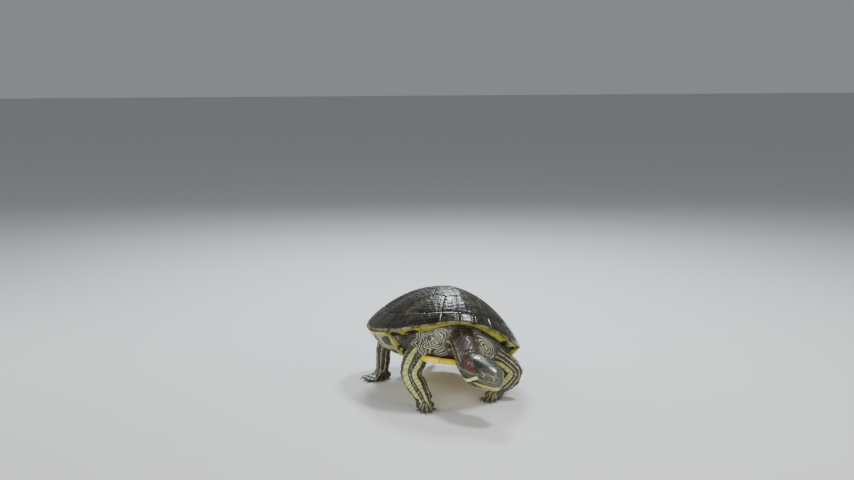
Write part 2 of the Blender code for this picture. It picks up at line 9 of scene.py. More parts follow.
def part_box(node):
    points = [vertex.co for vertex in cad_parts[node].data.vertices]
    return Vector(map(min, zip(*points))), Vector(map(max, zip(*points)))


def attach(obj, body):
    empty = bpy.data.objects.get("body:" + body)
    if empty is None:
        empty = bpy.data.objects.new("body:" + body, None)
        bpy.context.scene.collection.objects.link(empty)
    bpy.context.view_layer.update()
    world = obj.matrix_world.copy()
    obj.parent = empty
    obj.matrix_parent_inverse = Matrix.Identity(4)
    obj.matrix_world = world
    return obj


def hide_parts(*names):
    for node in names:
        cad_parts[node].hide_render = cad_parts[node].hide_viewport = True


# Red-eared slider, dressed over its solids. It faces -Y, its own left is +X, lengths are metres.
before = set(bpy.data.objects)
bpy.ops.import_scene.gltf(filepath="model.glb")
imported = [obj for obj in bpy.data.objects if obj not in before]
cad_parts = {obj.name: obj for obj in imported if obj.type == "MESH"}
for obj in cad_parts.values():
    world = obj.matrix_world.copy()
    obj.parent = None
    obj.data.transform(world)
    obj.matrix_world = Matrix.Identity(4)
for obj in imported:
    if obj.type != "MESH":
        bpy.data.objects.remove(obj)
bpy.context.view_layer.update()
mm = 0.001
print("frame loaded:", len(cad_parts), "nodes")


shell = {    # length and lift in metres, tilts in degrees, walls in mm, the rest as shares of the length
    "length": 0.115, "lift": 0.034, "pitch": 7.7, "roll": 9.1,
    "halfWidth": 0.424, "sidePower": 0.9, "endPower": 0.95, "egg": 0.05,    # rounder in front than behind
    "nuchalRise": 0.089, "nuchalPower": 5,
    "bridgeDip": (0.0255, 85, 28), "rearFlare": (0.021, 132, 24),    # height, then place and width in degrees
    "serration": 0.012, "serrationFrom": 100, "serrationGrow": 25, "notchWidth": 2.2,    # then degrees
    "domeHeight": 0.265, "domePower": 1.85, "domeAhead": 0.30, "domeShoulder": 0.86,
    "wall": 2.0, "nearRim": 0.985,    # past this share of the dome its own slope is no guide
    "plastronFront": 0.445, "plastronRear": 0.452, "plastronHalf": 0.268, "plastronDrop": 0.138,
    "plastronWall": 3.0,
    "bridgeFrom": (52, 12), "bridgeTo": (126, 14),    # degrees, and over how many it grows
    "bridgeLeast": 0.03,
    "marginalShares": [0.35, 1.0, 1.1, 1.15, 1.15, 1.15, 1.15, 1.15, 1.15, 1.15, 1.1, 1.0, 0.85],
}
size = shell["length"]
seamAngles = np.cumsum([0.0] + shell["marginalShares"])
seamAngles = seamAngles / seamAngles[-1] * math.pi


def shellTurn():
    pitch = Matrix.Rotation(-math.radians(shell["pitch"]), 3, "X")
    return np.array(Matrix.Rotation(math.radians(shell["roll"]), 3, "Y") @ pitch)


def wrapped(angle):
    return (np.asarray(angle, float) + math.pi) % (2 * math.pi) - math.pi


def signedPower(value, power):
    return np.sign(value) * np.abs(value) ** power


def hump(value, middle, width):
    return np.exp(-((value - middle) / width) ** 2)


def rimAt(angle):
    # the shell's rim, angle 0 in front, growing towards its left
    a = wrapped(angle)
    c, s = np.cos(a), np.sin(a)
    degrees = np.degrees(np.abs(a))
    toSeam = np.min(np.abs(np.abs(a)[..., None] - seamAngles[2:]), axis=-1)
    behind = np.clip((degrees - shell["serrationFrom"]) / shell["serrationGrow"], 0, 1)
    notched = 1 - shell["serration"] * behind * hump(toSeam, 0, math.radians(shell["notchWidth"]))
    y = -0.5 * size * signedPower(c, shell["endPower"]) * notched
    x = shell["halfWidth"] * size * signedPower(s, shell["sidePower"]) * (1 - shell["egg"] * c) * notched
    dip, dipAt, dipWide = shell["bridgeDip"]
    flare, flareAt, flareWide = shell["rearFlare"]
    z = shell["nuchalRise"] * size * np.maximum(c, 0) ** shell["nuchalPower"]
    z = z - dip * size * hump(degrees, dipAt, dipWide)
    z = z + flare * size * hump(degrees, flareAt, flareWide)
    return np.stack([x, y, z], axis=-1)


def domeAt(angle, t):
    # t is 0 at the top of the dome and 1 at the rim
    t = np.asarray(t, float)
    rim = rimAt(angle)
    power = shell["domePower"] + shell["domeAhead"] * np.cos(angle) ** 2
    full = np.maximum(1 - np.minimum(t, 1.0) ** power, 0)
    rise = shell["domeHeight"] * size * full ** shell["domeShoulder"]
    return np.stack([rim[..., 0] * t, rim[..., 1] * t, rim[..., 2] * t * t + rise], axis=-1)


def unit(v):
    return v / np.maximum(np.linalg.norm(v, axis=-1, keepdims=True), 1e-12)


def drawnIn(points, share, rise=0.0):
    # towards the middle of the ground plan, and up
    share = np.broadcast_to(share, len(points))
    return points * np.stack([share, share, np.ones(len(points))], 1) + [0, 0, rise]


def domeNormal(angle, t):
    step = 0.01
    low, high = np.clip(t - step, 0.02, 1), np.clip(t + step, 0.04, 0.992)
    low = np.minimum(low, high - 0.004)
    down = domeAt(angle, high) - domeAt(angle, low)
    around = domeAt(angle + step, np.maximum(t, 0.05)) - domeAt(angle - step, np.maximum(t, 0.05))
    normal = unit(np.cross(around, down))
    return normal * np.where(normal[..., 2:] < 0, -1.0, 1.0)


rimTable = np.linspace(-math.pi, math.pi, 2881)
rimFlat = rimAt(rimTable * 0.99999)
rimBearing = np.unwrap(np.arctan2(rimFlat[:, 0], -rimFlat[:, 1]))
rimRadius = np.hypot(rimFlat[:, 0], rimFlat[:, 1])


def planToDome(x, y):
    # a place on the ground plan, as an angle and a share t on the dome
    bearing = np.arctan2(x, -y)
    radius = np.interp(bearing, rimBearing, rimRadius)
    return np.interp(bearing, rimBearing, rimTable), np.hypot(x, y) / radius


def findShellOrigin():
    # the solids were centred on their footprint, so the shell's place is read from its box
    rim = domeAt(np.linspace(-math.pi, math.pi, 721), np.ones(721)) @ shellTurn().T
    low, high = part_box("carapace")
    x = 0.5 * (low.x + high.x) - 0.5 * (rim[:, 0].min() + rim[:, 0].max())
    y = 0.5 * (low.y + high.y) - 0.5 * (rim[:, 1].min() + rim[:, 1].max())
    return np.array([x, y, shell["lift"]])


shellOrigin = findShellOrigin()
bodyShift = Vector((shellOrigin[0], shellOrigin[1], 0))
footprint = np.array(bodyShift)    # the solids were moved by this much when they were centred
print("shell origin:", [round(v / mm, 2) for v in shellOrigin])


def toWorld(points):
    return np.asarray(points, float) @ shellTurn().T + shellOrigin


def toShell(points):
    return (np.asarray(points, float) - shellOrigin) @ shellTurn()


def meshObject(name, points, faces, smooth=40):
    mesh = bpy.data.meshes.new(name)
    mesh.from_pydata([tuple(p) for p in points], [], faces)
    mesh.update()
    made = bpy.data.objects.new(name, mesh)
    bpy.context.scene.collection.objects.link(made)
    mesh.shade_smooth()
    if smooth:
        mesh.set_sharp_from_angle(angle=math.radians(smooth))
    return made


def store(obj, name, values):
    # one number or three for each point, as a named attribute
    values = np.asarray(values, np.float32)
    kind, key = ("FLOAT", "value") if values.ndim == 1 else ("FLOAT_VECTOR", "vector")
    obj.data.attributes.new(name, kind, "POINT").data.foreach_set(key, values.ravel())


def fetched(layer, key, width=3):
    values = np.empty((len(layer), width), np.float32)
    layer.foreach_get(key, values.ravel())
    return values.astype(float)


def stored(obj, name):
    layer = obj.data.attributes[name]
    if layer.data_type == "FLOAT":
        return fetched(layer.data, "value", 1)[:, 0]
    return fetched(layer.data, "vector")


def readPoints(mesh):
    return fetched(mesh.vertices, "co")


def readNormals(mesh):
    return fetched(mesh.vertex_normals, "vector")


def readEdges(mesh):
    edges = np.empty(len(mesh.edges) * 2, np.int32)
    mesh.edges.foreach_get("vertices", edges)
    return edges.reshape(-1, 2)


def writePoints(mesh, points):
    mesh.vertices.foreach_set("co", points.astype(np.float32).ravel())
    mesh.update()


def outward(obj):
    body = bmesh.new()
    body.from_mesh(obj.data)
    bmesh.ops.recalc_face_normals(body, faces=body.faces)
    body.to_mesh(obj.data)
    body.free()
    return obj


def wear(obj, material, slot, *nodes):
    obj.data.materials.clear()
    obj.data.materials.append(material)
    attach(obj, "root")
    if nodes:
        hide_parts(*nodes)


def closedFaces(rows, count, startPole, endPole):
    # quads between closed rows of equal count, and a fan at each end
    faces = []
    for row in range(rows - 1):
        for k in range(count):
            a, b = row * count + k, row * count + (k + 1) % count
            faces.append((a, b, b + count, a + count))
    last = (rows - 1) * count
    faces += [((k + 1) % count, k, startPole) for k in range(count)]
    faces += [(last + k, last + (k + 1) % count, endPole) for k in range(count)]
    return faces


class Shader:
    # a short way to write a material's nodes
    def __init__(self, name):
        self.material = bpy.data.materials.new(name)
        self.material.use_nodes = True
        self.tree = self.material.node_tree
        self.principled = self.tree.nodes["Principled BSDF"]

    def node(self, kind, **settings):
        made = self.tree.nodes.new(kind)
        for key, value in settings.items():
            setattr(made, key, value)
        return made

    def link(self, value, socket):
        if isinstance(value, bpy.types.NodeSocket):
            self.tree.links.new(value, socket)
        elif value is not None:
            socket.default_value = value

    def attribute(self, name, kind="Fac"):
        return self.node("ShaderNodeAttribute", attribute_name=name).outputs[kind]

    def vector(self, name):
        return self.attribute(name, "Vector")

    def objectPlace(self):
        return self.node("ShaderNodeTexCoord").outputs["Object"]

    def math(self, operation, *values):
        made = self.node("ShaderNodeMath", operation=operation)
        for value, socket in zip(values, made.inputs):
            self.link(value, socket)
        return made.outputs[0]

    def times(self, first, *others):
        for other in others:
            first = self.math("MULTIPLY", first, other)
        return first

    def plus(self, a, b):
        return self.math("ADD", a, b)

    def minus(self, a, b):
        return self.math("SUBTRACT", a, b)

    def size(self, value):
        return self.math("ABSOLUTE", value)

    def reach(self, a, b):
        # the length of the two together
        return self.math("SQRT", self.plus(self.math("POWER", a, 2.0), self.math("POWER", b, 2.0)))

    def swing(self, noise, amount):
        # a noise about 0 in place of 0.5
        return self.times(self.minus(noise, 0.5), amount)

    def split(self, vector):
        made = self.node("ShaderNodeSeparateXYZ")
        self.link(vector, made.inputs[0])
        return made.outputs[0], made.outputs[1], made.outputs[2]

    def noise(self, vector, scale, detail=3.0, rough=0.55, distortion=0.0):
        made = self.node("ShaderNodeTexNoise")
        self.link(vector, made.inputs["Vector"])
        settings = {"Scale": scale, "Detail": detail, "Roughness": rough, "Distortion": distortion}
        for name, value in settings.items():
            made.inputs[name].default_value = value
        return made.outputs["Fac"]

    def cellEdges(self, vector, scale):
        made = self.node("ShaderNodeTexVoronoi", feature="DISTANCE_TO_EDGE")
        self.link(vector, made.inputs["Vector"])
        made.inputs["Scale"].default_value = scale
        return made.outputs["Distance"]

    def remap(self, value, low, high, toLow=0.0, toHigh=1.0):
        # an eased step from toLow to toHigh
        made = self.node("ShaderNodeMapRange", interpolation_type="SMOOTHSTEP", clamp=True)
        for item, socket in zip((value, low, high, toLow, toHigh), made.inputs):
            self.link(item, socket)
        return made.outputs[0]

    def mix(self, share, first, second):
        made = self.node("ShaderNodeMix", data_type="RGBA", blend_type="MIX")
        self.link(share, made.inputs["Factor"])
        for value, socket in ((first, made.inputs[6]), (second, made.inputs[7])):
            self.link((*value, 1.0) if isinstance(value, tuple) else value, socket)
        return made.outputs[2]

    def tones(self, value, low, high, first, second):
        return self.mix(self.remap(value, low, high), first, second)

    def mixValue(self, share, first, second):
        # first where share is 0 and second where it is 1
        return self.plus(first, self.times(share, self.minus(second, first)))

    def toWhole(self, value):
        # the way to the nearest whole number
        return self.minus(0.5, self.size(self.minus(self.math("FRACT", value), 0.5)))

    def mapped(self, vector, scale):
        made = self.node("ShaderNodeMapping")
        self.link(vector, made.inputs["Vector"])
        made.inputs["Scale"].default_value = scale
        return made.outputs[0]

    def stripe(self, value, centre, halfWidth, soft):
        # 1 inside a band of value, 0 outside it
        away = self.size(self.minus(value, centre))
        return self.remap(away, halfWidth + soft, max(halfWidth - soft, 0.0))

    def finish(self, colour, roughness, bump=None, depth=0.1 * mm, coat=0.0, coatRough=0.1, specular=0.5):
        p = self.principled
        self.link((*colour, 1.0) if isinstance(colour, tuple) else colour, p.inputs["Base Color"])
        self.link(roughness, p.inputs["Roughness"])
        p.inputs["Coat Weight"].default_value = coat
        p.inputs["Coat Roughness"].default_value = coatRough
        p.inputs["Specular IOR Level"].default_value = specular
        if bump is not None:
            made = self.node("ShaderNodeBump")
            made.inputs["Strength"].default_value = 1.0
            made.inputs["Distance"].default_value = depth
            self.link(bump, made.inputs["Height"])
            self.tree.links.new(made.outputs[0], p.inputs["Normal"])
        return self.material


view = {"place": (-171.7, -828.8, 216.5), "tiltDown": 8.2, "turn": -10.97, "angle": 35.1}    # mm, degrees
studio = {
    "floorReach": 3, "floorBehind": 5, "floorDrop": 0.0002,    # metres
    "lightsAimAt": (0, -0.01, 0.03), "roomColour": (0.80, 0.84, 0.88, 1), "roomStrength": 0.31,
}


def makeCamera():
    lens = bpy.data.cameras.new("mainCamera")
    lens.sensor_fit = "HORIZONTAL"
    lens.angle = math.radians(view["angle"])
    lens.clip_start = 0.01
    camera = bpy.data.objects.new("mainCamera", lens)
    camera.location = Vector(view["place"]) * mm + bodyShift
    camera.rotation_euler = (math.radians(90 - view["tiltDown"]), 0, math.radians(view["turn"]))
    bpy.context.scene.collection.objects.link(camera)
    bpy.context.scene.camera = camera


def floorMaterial():
    s = Shader("paleFloor")
    speckle = s.noise(s.objectPlace(), 900, 2)
    return s.finish(s.mix(speckle, (0.60, 0.60, 0.59), (0.64, 0.64, 0.63)), 0.7)


def makeFloor():
    reach, behind = studio["floorReach"], studio["floorBehind"]
    corners = [(-reach, -reach), (reach, -reach), (reach, behind), (-reach, behind)]
    floor = meshObject("studioFloor", [(x, y, -studio["floorDrop"]) for x, y in corners], [(0, 1, 2, 3)], 0)
    floor.data.materials.append(floorMaterial())


lamps = {    # place from the body in mm, size in mm, watts, colour
    "windowBehind": ((90, 560, 540), 170, 5.2, (0.84, 0.92, 1.0)),
    "windowAbove": ((230, 40, 620), 120, 3.4, (0.92, 0.96, 1.0)),
    "frontSoft": ((-420, -700, 250), 540, 4.8, (1.0, 0.985, 0.96)),
    "leftRim": ((-430, 160, 300), 200, 0.7, (0.95, 0.97, 1.0)),
    "frontRight": ((420, -520, 260), 420, 2.0, (1.0, 0.98, 0.95)),
}


def makeLights():
    for name, (place, width, watts, colour) in lamps.items():
        light = bpy.data.lights.new(name, "AREA")
        light.shape = "SQUARE"
        light.size = width * mm
        light.energy = watts
        light.color = colour
        lamp = bpy.data.objects.new(name, light)
        lamp.location = Vector(place) * mm
        aim = Vector(studio["lightsAimAt"]) - lamp.location
        lamp.rotation_euler = aim.to_track_quat("-Z", "Y").to_euler()
        bpy.context.scene.collection.objects.link(lamp)
    world = bpy.data.worlds.new("paleRoom")
    world.use_nodes = True
    room = world.node_tree.nodes["Background"].inputs
    room["Color"].default_value = studio["roomColour"]
    room["Strength"].default_value = studio["roomStrength"]
    bpy.context.scene.world = world


makeCamera()
makeFloor()
makeLights()
print("camera, floor and lights set")


plates = {
    "bed": 0.45,    # the bone lies this far under the plates' own level, mm
    "proud": 0.12,    # the plates' level over the solids' own dome, mm
    "thick": 0.9,
    "gap": 0.10,    # half the open seam, mm
    "roundEdge": 0.9,    # width over which a plate's edge turns down, mm
    "edgeDrop": 0.42,
    "ringStep": 0.42, "boundaryStep": 0.45,    # mesh steps out from the middle and along the seam, mm
    "crowding": 1.12,    # rings lie a little closer at the seam
    "ringCount": 6, "ringHeight": 0.060,    # growth ridges
    "ruggedHeight": 0.15, "ruggedWaves": 20, "ruggedGain": 2.6,
    "ruggedPitch": (1.1, 3.2), "ruggedLobes": (9, 26),
    "meanRadius": 48.0,    # of the shell, for measures that run with the rim, mm
    "keel": 0.35, "keelWidth": 1.8,
    "oldest": 0.10,    # how far the first small plate lies from the middle
    "bandAt": (0.815, 0.07, 0.03),    # t of the marginals' seam: side, more in front, behind
    # seams across the back, as shares of the shell's length, and the half width of the seam there
    "seams": [(-0.285, 0.085), (-0.105, 0.095), (0.08, 0.095), (0.26, 0.070)],
    "apexes": [(-0.195, 0.130), (-0.0125, 0.135), (0.17, 0.125)],
    "frontCorner": 2, "rearCorner": 11.5,    # on the marginals' own seams, counted from the cervical
    "costalSeams": [5, 7.5, 9.5],
}


def bandShare(angle):
    # t of the seam between the marginals and the plates above them
    c = np.cos(wrapped(angle))
    side, front, rear = plates["bandAt"]
    return side + front * np.maximum(c, 0) ** 4 + rear * np.maximum(-c, 0) ** 3


def seamAngle(index):
    return float(np.interp(index, np.arange(len(seamAngles)), seamAngles))


def bandRun(fromAngle, toAngle):
    angles = np.linspace(fromAngle, toAngle, 24)
    return [tuple(place[:2]) for place in domeAt(angles, bandShare(angles))]


def plateOutlines():
    # plan outlines of the five vertebrals and four costals a side
    s = [(hw * size, y * size) for y, hw in plates["seams"]]
    apex = [(hw * size, y * size) for y, hw in plates["apexes"]]
    front, rear = seamAngle(plates["frontCorner"]), seamAngle(plates["rearCorner"])
    c1, c2, c3 = [seamAngle(k) for k in plates["costalSeams"]]

    def flip(p):
        return (-p[0], p[1])

    outlines = {
        "vertebral_1": bandRun(-front, front) + [s[0], flip(s[0])],
        "vertebral_5": [flip(s[3]), s[3]] + bandRun(rear, 2 * math.pi - rear),
    }
    for k in range(3):
        rightHalf = [s[k], apex[k], s[k + 1]]
        outlines[f"vertebral_{k + 2}"] = [flip(s[k])] + rightHalf + [flip(s[k + 1]), flip(apex[k])]
    left = [
        [s[0]] + bandRun(front, c1) + [apex[0]],
        [s[1], apex[0]] + bandRun(c1, c2) + [apex[1]],
        [s[2], apex[1]] + bandRun(c2, c3) + [apex[2]],
        [s[3], apex[2]] + bandRun(c3, rear),
    ]
    for k, outline in enumerate(left):
        outlines[f"costal_left_{k + 1}"] = outline
        outlines[f"costal_right_{k + 1}"] = [flip(p) for p in reversed(outline)]
    return outlines


def resample(outline, step):
    # evenly spaced points round a closed outline that keep its corners
    made = []
    for k, start in enumerate(outline):
        a, b = np.array(start), np.array(outline[(k + 1) % len(outline)])
        count = max(1, int(round(np.linalg.norm(b - a) / step)))
        made.extend(a + (b - a) * i / count for i in range(count))
    return np.array(made)


def rugged(place, seed):
    # low broken ridges that run with the rim
    rng = np.random.default_rng(seed)
    angle, t = planToDome(place[:, 0], place[:, 1])
    total = np.zeros(len(place))
    for wave in range(plates["ruggedWaves"]):
        pitch = rng.uniform(*plates["ruggedPitch"])
        wobble, turn, fade = rng.uniform(0, 2 * math.pi, 3)
        lobes = int(rng.integers(*plates["ruggedLobes"]))
        if wave % 3:    # one in three runs lengthwise instead
            bend = 1.3 * np.sin(lobes * angle + turn)
            ridge = np.sin(2 * math.pi * t * plates["meanRadius"] / pitch + wobble + bend)
            total += ridge * (0.7 + 0.5 * np.sin((lobes + 3) * angle + fade))
        else:
            bend = 1.2 * np.sin(place[:, 1] / (rng.uniform(2.5, 6) * mm) + turn)
            total += 0.8 * np.sin(2 * math.pi * place[:, 0] / (pitch * 1.3 * mm) + wobble + bend)
    return total / plates["ruggedWaves"] * plates["ruggedGain"]


def rimPlace(points):
    # how far out and how far round the shell each point is, in mm, for streaks that run with the rim
    angle, t = planToDome(points[:, 0], points[:, 1])
    radius = plates["meanRadius"]
    return np.stack([t * radius, np.abs(wrapped(angle)) * radius, points[:, 0] / mm * 0.35], 1)


def plateSurface(x, y, lift):
    angle, t = planToDome(x, y)
    return domeAt(angle, t) + domeNormal(angle, np.minimum(t, shell["nearRim"])) * lift[:, None]


def plateHeights(share, edge, place, seed):
    # share is 0 at the first small plate and 1 at the seam; edge is the way to the seam in mm
    grown = share ** 0.85 * plates["ringCount"]
    ridge = 0.5 - 0.5 * np.cos(2 * math.pi * grown)
    height = plates["ringHeight"] * (1 - ridge ** 3) * np.clip(share * 6, 0, 1)
    height = height + plates["ruggedHeight"] * rugged(place, seed) * np.clip(edge / 1.2, 0, 1)
    turnedDown = np.clip(1 - edge / plates["roundEdge"], 0, 1) ** 2
    return (height + plates["proud"] - plates["edgeDrop"] * turnedDown) * mm


def makePlate(name, outline, seed):
    rim = resample(outline, plates["boundaryStep"] * mm)
    centre = rim.mean(axis=0)
    side = 0 if "vertebral" in name else (1 if "left" in name else -1)
    # the oldest part of a plate lies towards its upper rear edge
    centre = centre + plates["oldest"] * np.array([-side * np.ptp(rim[:, 0]), np.ptp(rim[:, 1])])
    reach = np.linalg.norm(rim - centre, axis=1)
    shrink = 1 - plates["gap"] * mm / reach
    rings = int(np.median(reach) / (plates["ringStep"] * mm))
    shares = 1 - (1 - np.linspace(0, 1, rings + 1)[1:]) ** plates["crowding"]
    points, values = [], []
    for share in reversed(shares):
        plan = centre + (rim - centre) * (shrink * share)[:, None]
        edge = reach * (1 - share) / mm
        lift = plateHeights(np.full(len(plan), share), edge, plan, seed)
        if side == 0:
            keel = plates["keel"] * mm * hump(plan[:, 0], 0, plates["keelWidth"] * mm)
            lift = lift + keel * np.clip(edge / 3, 0, 1)
        points.append(plateSurface(plan[:, 0], plan[:, 1], lift))
        values.append(np.full(len(plan), share))
    count = len(rim)
    # the wall at the seam and the hidden underside
    under = []
    for share in (1.0, 0.66, 0.33):
        plan = centre + (rim - centre) * (shrink * share)[:, None]
        drop = np.full(count, (plates["proud"] - plates["edgeDrop"] - plates["thick"]) * mm)
        under.append(plateSurface(plan[:, 0], plan[:, 1], drop))
        values.insert(0, np.full(count, 1.0))
    rows = under[::-1] + points
    levels = (plates["proud"], -plates["thick"])
    poles = [plateSurface(centre[:1], centre[1:], np.array([level * mm])) for level in levels]
    stacked = np.concatenate(rows + poles)
    faces = closedFaces(len(rows), count, len(stacked) - 1, len(stacked) - 2)
    obj = meshObject(name, toWorld(stacked), faces, 0)
    angles = np.arctan2(rim[:, 1] - centre[1], rim[:, 0] - centre[0])
    spoke = np.concatenate([np.tile(angles, len(rows)), [0, 0]])
    share = np.concatenate([np.concatenate(values), [0, 1]])
    store(obj, "growth", share)
    apart = np.full(len(share), seed * 1.7)    # each plate's rays differ
    store(obj, "spoke", np.stack([np.cos(spoke) * share, np.sin(spoke) * share, apart], 1))
    store(obj, "shellPlace", stacked / mm)
    store(obj, "rimPlace", rimPlace(stacked))
    return outward(obj)


def carapaceMaterial():
    s = Shader("wetCarapaceHorn")
    place = s.vector("shellPlace")
    growth = s.attribute("growth")
    spoke = s.vector("spoke")
    streaks = s.vector("rimPlace")
    fibre = s.noise(s.mapped(streaks, (0.80, 0.17, 0.3)), 1.2, 5, 0.6, 0.6)
    cloud = s.noise(place, 0.11, 4, 0.55, 0.8)
    rays = s.noise(s.mapped(spoke, (3.2, 3.2, 1.0)), 1.7, 4, 0.6, 1.4)
    base = s.tones(cloud, 0.35, 0.68, (0.005, 0.0045, 0.003), (0.020, 0.016, 0.008))
    base = s.mix(s.remap(fibre, 0.52, 0.80, 0, 0.7), base, (0.052, 0.044, 0.018))
    # faint olive lines that run with the growth of each plate
    line = s.times(s.remap(rays, 0.56, 0.66), s.remap(fibre, 0.30, 0.6, 0.3, 1.0))
    base = s.mix(s.times(line, 0.45), base, (0.10, 0.088, 0.032))
    # an olive bar across each plate, broken and crooked
    crooked = s.plus(s.split(spoke)[1], s.swing(s.noise(place, 0.13, 4), 1.1))
    bar = s.times(s.stripe(crooked, 0.02, 0.10, 0.06), s.remap(fibre, 0.35, 0.6, 0.3, 1.0))
    rim = s.times(s.stripe(crooked, 0.26, 0.02, 0.02), s.remap(fibre, 0.4, 0.6))
    base = s.mix(s.times(s.math("MAXIMUM", bar, rim), 0.50), base, (0.115, 0.098, 0.036))
    worn = s.times(s.remap(growth, 0.975, 0.992), s.remap(cloud, 0.40, 0.62, 0.10, 0.8))
    base = s.mix(s.times(worn, 0.35), base, (0.12, 0.105, 0.05))
    seam = s.remap(growth, 0.990, 1.0)
    base = s.mix(s.times(seam, 0.85), base, (0.004, 0.0035, 0.003))
    rough = s.remap(s.noise(s.mapped(streaks, (1.2, 0.25, 0.6)), 0.9, 4), 0.35, 0.65, 0.20, 0.52)
    fine = s.noise(s.mapped(streaks, (1.6, 0.34, 0.9)), 1.2, 5, 0.62)
    return s.finish(base, rough, fine, 0.14 * mm, coat=0.11, coatRough=0.06, specular=0.13)


carapaceHorn = carapaceMaterial()
outlines = plateOutlines()
for seed, (name, outline) in enumerate(outlines.items(), 1):
    wear(makePlate(name, outline, seed), carapaceHorn, "carapace_horn")
print("plates made:", len(outlines))


marginals = {
    "columnStep": 0.42, "outerRows": 26, "lipRows": 7, "shelfRows": 14, "innerRows": 5,
    "lipWidth": 1.5, "shelfWidth": 6.0, "shelfDrop": 2.4, "innerEnd": 0.845, "shelfSwell": 0.35,
    "overNeck": 0.55,    # share of the drop lost over the neck
    "closedWidth": 1.3, "closedDrop": 1.0, "closes": (0.93, 0.999),    # the wedge over the bridge
    "lipEnd": 0.16,    # share of the wedge where the round lip ends
    "seamDip": 0.26, "dipWidth": 0.7,    # notch of the free edge at each seam, mm
    "outerBack": 1.1, "topBack": 0.8,    # depth of the plate's hidden back, mm
}
bone = {"columns": 180, "outerRows": 26, "innerRows": 16, "edgeIn": 0.75, "edgeUp": 0.35, "clear": 0.15}


def insideDome(angle, t, depth):
    t = np.broadcast_to(np.asarray(t, float), np.shape(angle))
    return domeAt(angle, t) - domeNormal(angle, np.minimum(t, shell["nearRim"])) * depth


def makeBone():
    count = bone["columns"]
    angles = np.linspace(0, 2 * math.pi, count, endpoint=False)
    rows = []
    for t in np.linspace(0.06, shell["nearRim"], bone["outerRows"]):
        rows.append(insideDome(angles, t, plates["bed"] * mm))
    rim = rimAt(angles)
    shrink = 1 - bone["edgeIn"] * mm / np.hypot(rim[:, 0], rim[:, 1])
    rows.append(drawnIn(rim, shrink, bone["edgeUp"] * mm))
    for t in np.linspace(0.975, 0.08, bone["innerRows"]):
        rows.append(insideDome(angles, t, (shell["wall"] - bone["clear"]) * mm))
    top = shell["domeHeight"] * size
    poles = [[0, 0, top - plates["bed"] * mm], [0, 0, top - shell["wall"] * mm]]
    points = np.concatenate(rows + [poles])
    faces = closedFaces(len(rows), count, len(points) - 2, len(points) - 1)
    return outward(meshObject("carapace_bone", toWorld(points), faces, 0))


def boneMaterial():
    s = Shader("darkShellBone")
    speck = s.noise(s.objectPlace(), 1500, 3)
    return s.finish(s.mix(speck, (0.010, 0.009, 0.006), (0.03, 0.026, 0.016)), 0.5, speck, 0.05 * mm)


def smoothStep(value, low, high):
    share = np.clip((value - low) / (high - low), 0, 1)
    return share * share * (3 - 2 * share)


def bridgeShare(angle):
    degrees = np.degrees(np.abs(wrapped(angle)))
    (front, frontGrow), (rear, rearGrow) = shell["bridgeFrom"], shell["bridgeTo"]
    behind, ahead = smoothStep(degrees, front, front + frontGrow), smoothStep(degrees, rear, rear - rearGrow)
    return shell["bridgeLeast"] + (1 - shell["bridgeLeast"]) * np.minimum(behind, ahead)


def shelfPoint(angle, inward):
    # the wedge under the rim, from the lip (0) in to the skin (1); over the bridge it thins away
    rim = rimAt(angle)
    radius = np.hypot(rim[:, 0], rim[:, 1]) / mm
    width = marginals["lipWidth"] + (marginals["shelfWidth"] - marginals["lipWidth"]) * inward
    shrink = 1 - width / radius
    overNeck = marginals["overNeck"] * np.maximum(np.cos(angle), 0) ** 24
    drop = marginals["shelfDrop"] * mm * (1 - overNeck) * inward
    wedge = np.stack([rim[:, 0] * shrink, rim[:, 1] * shrink, rim[:, 2] - drop], 1)
    narrow = 1 - (marginals["lipWidth"] + marginals["closedWidth"] * inward) / radius
    low = rim[:, 2] - marginals["closedDrop"] * mm * min(3 * inward, 1)
    thin = np.stack([rim[:, 0] * narrow, rim[:, 1] * narrow, low], 1)
    closed = smoothStep(bridgeShare(angle), *marginals["closes"])[:, None]
    return wedge * (1 - closed) + thin * closed


